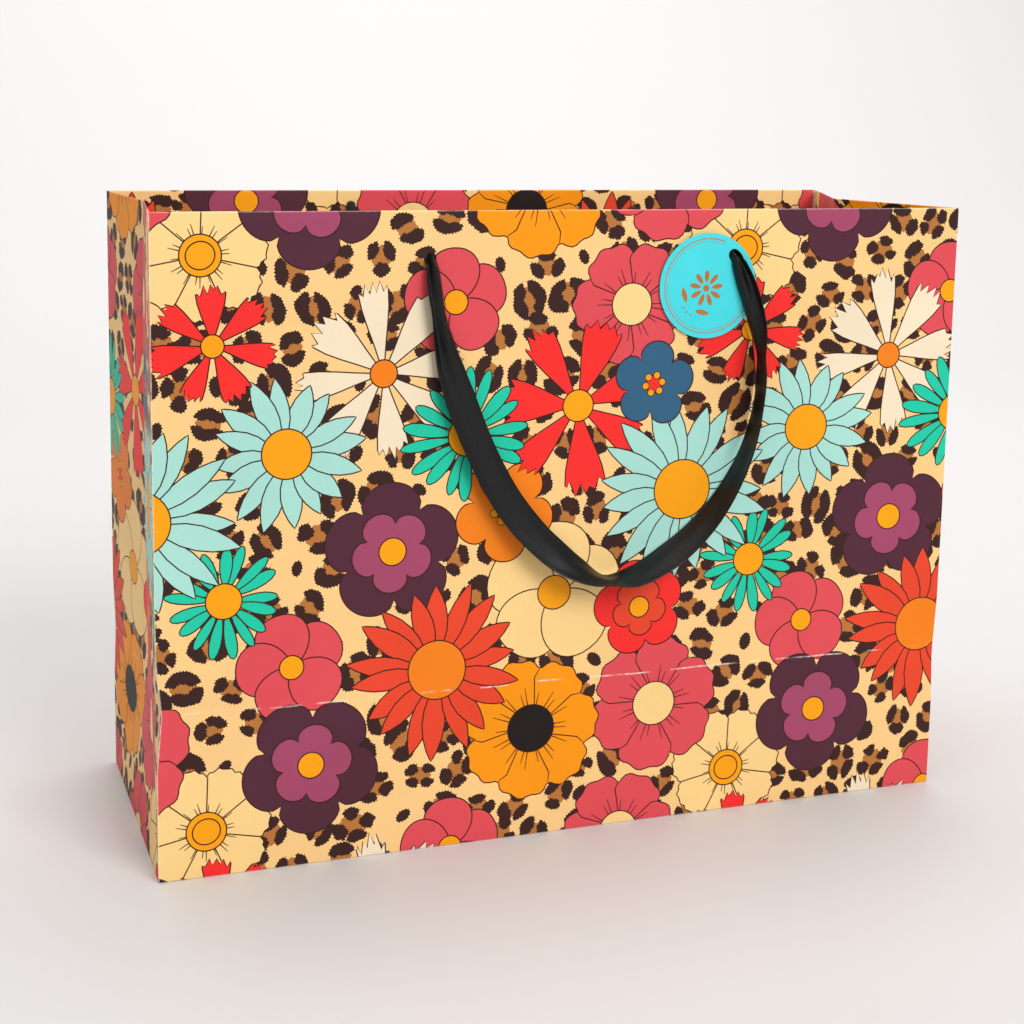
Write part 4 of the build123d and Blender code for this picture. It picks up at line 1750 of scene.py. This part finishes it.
@dataclass
class HangTag:
    """Round card tag on the front ribbon, with a foil border and a foil flower on its front."""

    hole_x: float = 76.5
    hole_z: float = 283.0
    front_y: float = 74.233
    thickness: float = 0.5
    radius: float = 25.5
    hole_radius: float = 3.0
    hole_inset: float = 5.5
    turn: float = 42.0
    foil_height: float = 0.03
    foil_depth: float = 0.02

    def build(self) -> list[bpy.types.Object]:
        """Cut the tag, round its edge and press the foil on.

        Returns:
            The card and its foil.
        """
        card = self._card()
        foil = self._foil()
        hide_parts("hang_tag")
        for piece in (card, foil):
            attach(piece, "tag")
        return [card, foil]

    def _in_space(self, flat: Points, depth: Points) -> Points:
        """Hang flat points of the tag in front of the wall.

        Args:
            flat: Points round the tag's centre, before it is turned.
            depth: Distance in front of the tag's front face, for each point.

        Returns:
            Points in space.
        """
        reach = self.radius - self.hole_inset
        c, s = cos(radians(self.turn)), sin(radians(self.turn))
        x = self.hole_x + c * flat[:, 0] + s * (flat[:, 1] - reach)
        z = self.hole_z - s * flat[:, 0] + c * (flat[:, 1] - reach)
        return np.stack([x, -self.front_y - depth, z], axis=1)

    def _card(self) -> bpy.types.Object:
        """The disc of card with a softened edge and its hole."""
        reach = self.radius - self.hole_inset
        corners, hole_corners = 120, 40
        # Inset and depth of each ring of the rim, from the back face round to the front one.
        soft, core, back = 0.14, 0.11, -self.thickness
        outer = (
            (soft, back),
            (soft * 0.3, soft * 0.3 + back),
            (0.0, back / 2 - core),
            (0.0, back / 2 + core),
            (soft * 0.3, -soft * 0.3),
            (soft, 0.0),
        )
        flat = [disc(self.radius - inset, corners) for inset, _ in outer]
        depth = [np.full(corners, level) for _, level in outer]
        faces: list[tuple[int, ...]] = []
        for ring in range(len(outer) - 1):
            for n in range(corners):
                a, b = ring * corners + n, ring * corners + (n + 1) % corners
                faces.append((a, b, b + corners, a + corners))
        total = len(outer) * corners
        for level in (back, 0.0):
            flat.append(disc(self.hole_radius, hole_corners) + (0.0, reach))
            depth.append(np.full(hole_corners, level))
        for n in range(hole_corners):
            a, b = total + n, total + (n + 1) % hole_corners
            faces.append((a, a + hole_corners, b + hole_corners, b))
        places = np.concatenate(flat)
        rims = ((0, total, False), (total - corners, total + hole_corners, True))
        for rim, hole, front in rims:
            numbers = [*range(rim, rim + corners), *range(hole, hole + hole_corners)]
            local = places[numbers]
            edges = [(n, (n + 1) % corners) for n in range(corners)]
            edges += [
                (corners + n, corners + (n + 1) % hole_corners) for n in range(hole_corners)
            ]
            points = [Vector(point) for point in local.tolist()]
            found = delaunay_2d_cdt(points, edges, [], 0, 1e-6, False)
            for triangle in found[2]:
                centre = local[list(triangle)].mean(axis=0)
                if np.hypot(centre[0], centre[1] - reach) > self.hole_radius * 0.97:
                    order = triangle if front else triangle[::-1]
                    faces.append(tuple(numbers[n] for n in order))
        hung = self._in_space(places, np.concatenate(depth))
        piece = mesh_object("tag_card", hung, faces, [DyedArtCard().build()])
        piece.data.shade_flat()
        return piece

    def _foil(self) -> bpy.types.Object:
        """A thin border ring with a gap for the hole, and a small flower with two leaves."""
        shapes = []
        gap = radians(20)
        sweep = np.linspace(pi / 2 + gap, 5 * pi / 2 - gap, 90)
        borders = ((22.6, 23.1), (21.3, 21.55))
        for inner, outer in borders:
            shapes.append(np.concatenate([arc(outer, sweep), arc(inner, sweep[::-1])]))
        middle = (0.0, -1.5)
        for number in range(9):
            ray = petal(2.6, 6.2, 2.5, 0.8, 0.55, 8)
            shapes.append(placed(ray, middle, number * 2 * pi / 9 + 0.17))
        shapes.append(placed(disc(1.7, 24), middle, 0))
        for side in (-1, 1):
            leaf = petal(0.0, 7.5, 2.6, 0.7, 0.75, 9)
            shapes.append(placed(leaf, (side * 3.2, -13.2), pi / 2 - side * 1.05))
        for number in range(3):
            dot = ((number - 1) * 2.6, -16.6 + 0.5 * abs(number - 1))
            shapes.append(placed(disc(0.55, 14), dot, 0))
        faces, total = [], 0
        for number, outline in enumerate(shapes):
            count = len(outline)
            if number < len(borders):
                last = total + count - 1
                for n in range(count // 2 - 1):
                    faces.append((total + n, total + n + 1, last - 1 - n, last - n))
            else:
                faces.append(tuple(range(total, total + count)))
            total += count
        points = np.concatenate(shapes)
        faces += [tuple(n + total for n in face[::-1]) for face in list(faces)]
        starts = np.cumsum([0] + [len(outline) for outline in shapes])
        for start, outline in zip(starts, shapes):
            for n in range(len(outline)):
                a, b = start + n, start + (n + 1) % len(outline)
                faces.append((a, a + total, b + total, b))
        depth = np.repeat([self.foil_height, -self.foil_depth], total)
        places = self._in_space(np.concatenate([points, points]), depth)
        piece = mesh_object("tag_foil", places, faces, [HotStampedFoil().build()])
        piece.data.shade_flat()
        return piece


@dataclass
class InnerParts:
    """Base board, rim stiffeners and the moulded bars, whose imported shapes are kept."""

    def build(self, nodes: dict[str, bpy.types.Object]) -> None:
        """Give each kept node its finish.

        Args:
            nodes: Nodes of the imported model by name.
        """
        board = PressedBoard("bleached_pressed_board", "#EFEBE2", "#DDD6C9").build()
        grey = PressedBoard("grey_pressed_board", "#BDB7AB", "#9F988C").build()
        plastic = MouldedPolypropylene().build()
        endings = {"base_board": board, "stiffener": grey, "barb": plastic}
        for name, node in nodes.items():
            for ending, finish in endings.items():
                if name.endswith(ending):
                    node.data.materials.clear()
                    node.data.materials.append(finish)
                    log.info("finished %s", name)


@dataclass
class Studio:
    """Plain pale sweep, soft lights and the camera."""

    camera_place: tuple[float, float, float] = (-0.3114, -0.8319, 0.3625)
    azimuth: float = -19.95
    elevation: float = 9.61
    roll: float = 1.19
    lens: float = 61.6
    shift: float = -0.129
    sweep_colour: str = "#D6D4D3"
    surroundings: float = 0.42
    # Name, place, width, power and aim of each soft lamp.
    lamps: tuple[tuple[Any, ...], ...] = (
        ("key", (1.1, -3.5, 2.7), 2.2, 122.0, (0.0, 0.0, 0.15)),
        ("top", (-0.5, 0.1, 2.4), 2.0, 22.0, (0.0, 0.0, 0.15)),
        ("backdrop", (0.8, 0.9, 2.6), 2.4, 46.0, (1.1, 2.6, 0.9)),
    )

    def build(self) -> None:
        """Set up the camera, the sweep, the lights and the surroundings."""
        self._camera()
        self._sweep()
        self._lights()

    def _camera(self) -> None:
        """Place the camera by its direction, tilt and roll."""
        a, e, r = radians(self.azimuth), radians(self.elevation), radians(self.roll)
        ahead = Vector((-sin(a) * cos(e), cos(a) * cos(e), -sin(e)))
        level = Vector((cos(a), sin(a), 0))
        above = level.cross(ahead)
        right = cos(r) * level + sin(r) * above
        upward = -sin(r) * level + cos(r) * above
        data = bpy.data.cameras.new("camera")
        data.sensor_width = 36
        data.lens = self.lens
        data.shift_y = self.shift
        data.clip_start, data.clip_end = 0.02, 60
        camera = bpy.data.objects.new("camera", data)
        turn = Matrix((right, upward, -ahead)).transposed()
        camera.matrix_world = Matrix.Translation(self.camera_place) @ turn.to_4x4()
        bpy.context.scene.collection.objects.link(camera)
        bpy.context.scene.camera = camera

    def _sweep(self) -> None:
        """A floor that curves up into a backdrop far behind the bag."""
        reach, back, radius, top = 7000.0, 2600.0, 1500.0, 5200.0
        foot = back - radius
        profile = [(-6000.0, 0.0), (-2000.0, 0.0), (0.0, 0.0), (foot, 0.0)]
        for step in range(1, 25):
            angle = step / 24 * pi / 2
            profile.append((foot + radius * sin(angle), radius - radius * cos(angle)))
        profile.append((back, top))
        places = np.array([(x, y, z) for y, z in profile for x in (-reach, reach)])
        faces = [(2 * n, 2 * n + 1, 2 * n + 3, 2 * n + 2) for n in range(len(profile) - 1)]
        paint = {"Base Color": linear(self.sweep_colour)}
        paint |= {"Roughness": 0.5, "Specular IOR Level": 0.3}
        material, _, _ = new_material("matt_painted_sweep", paint)
        floor = mesh_object("studio_sweep", places, faces, [material])

    def _lights(self) -> None:
        """White surroundings, a broad key from the front right, a top lamp and a backdrop lamp."""
        world = bpy.data.worlds.new("surroundings")
        world.use_nodes = True
        background = world.node_tree.nodes["Background"]
        background.inputs["Color"].default_value = linear("#FFFFFF")
        background.inputs["Strength"].default_value = self.surroundings
        bpy.context.scene.world = world
        for name, place, size, power, aim in self.lamps:
            data = bpy.data.lights.new(name, "AREA")
            data.size = size
            data.energy = power
            lamp = bpy.data.objects.new(name, data)
            lamp.location = place
            direction = Vector(aim) - Vector(place)
            lamp.rotation_euler = direction.to_track_quat("-Z", "Y").to_euler()
            bpy.context.scene.collection.objects.link(lamp)
        bpy.context.scene.view_settings.view_transform = "Standard"


def main() -> None:
    """Build every sub-assembly in order and report it."""
    logging.basicConfig(level=logging.INFO, format="%(name)s: %(message)s")
    shape = BagShape(half_width=203.0, half_depth=76.0, height=305.0)
    Studio().build()
    for wall in ("front", "back"):
        ribbon = RibbonHandle(wall, shape).build()
        log.info("wove %s", ribbon.name)
    for piece in PaperShell(shape).build():
        log.info("folded %s", piece.name)
    for piece in HangTag().build():
        log.info("cut %s", piece.name)
    InnerParts().build(frame["nodes"])


if __name__ == "__main__":
    main()
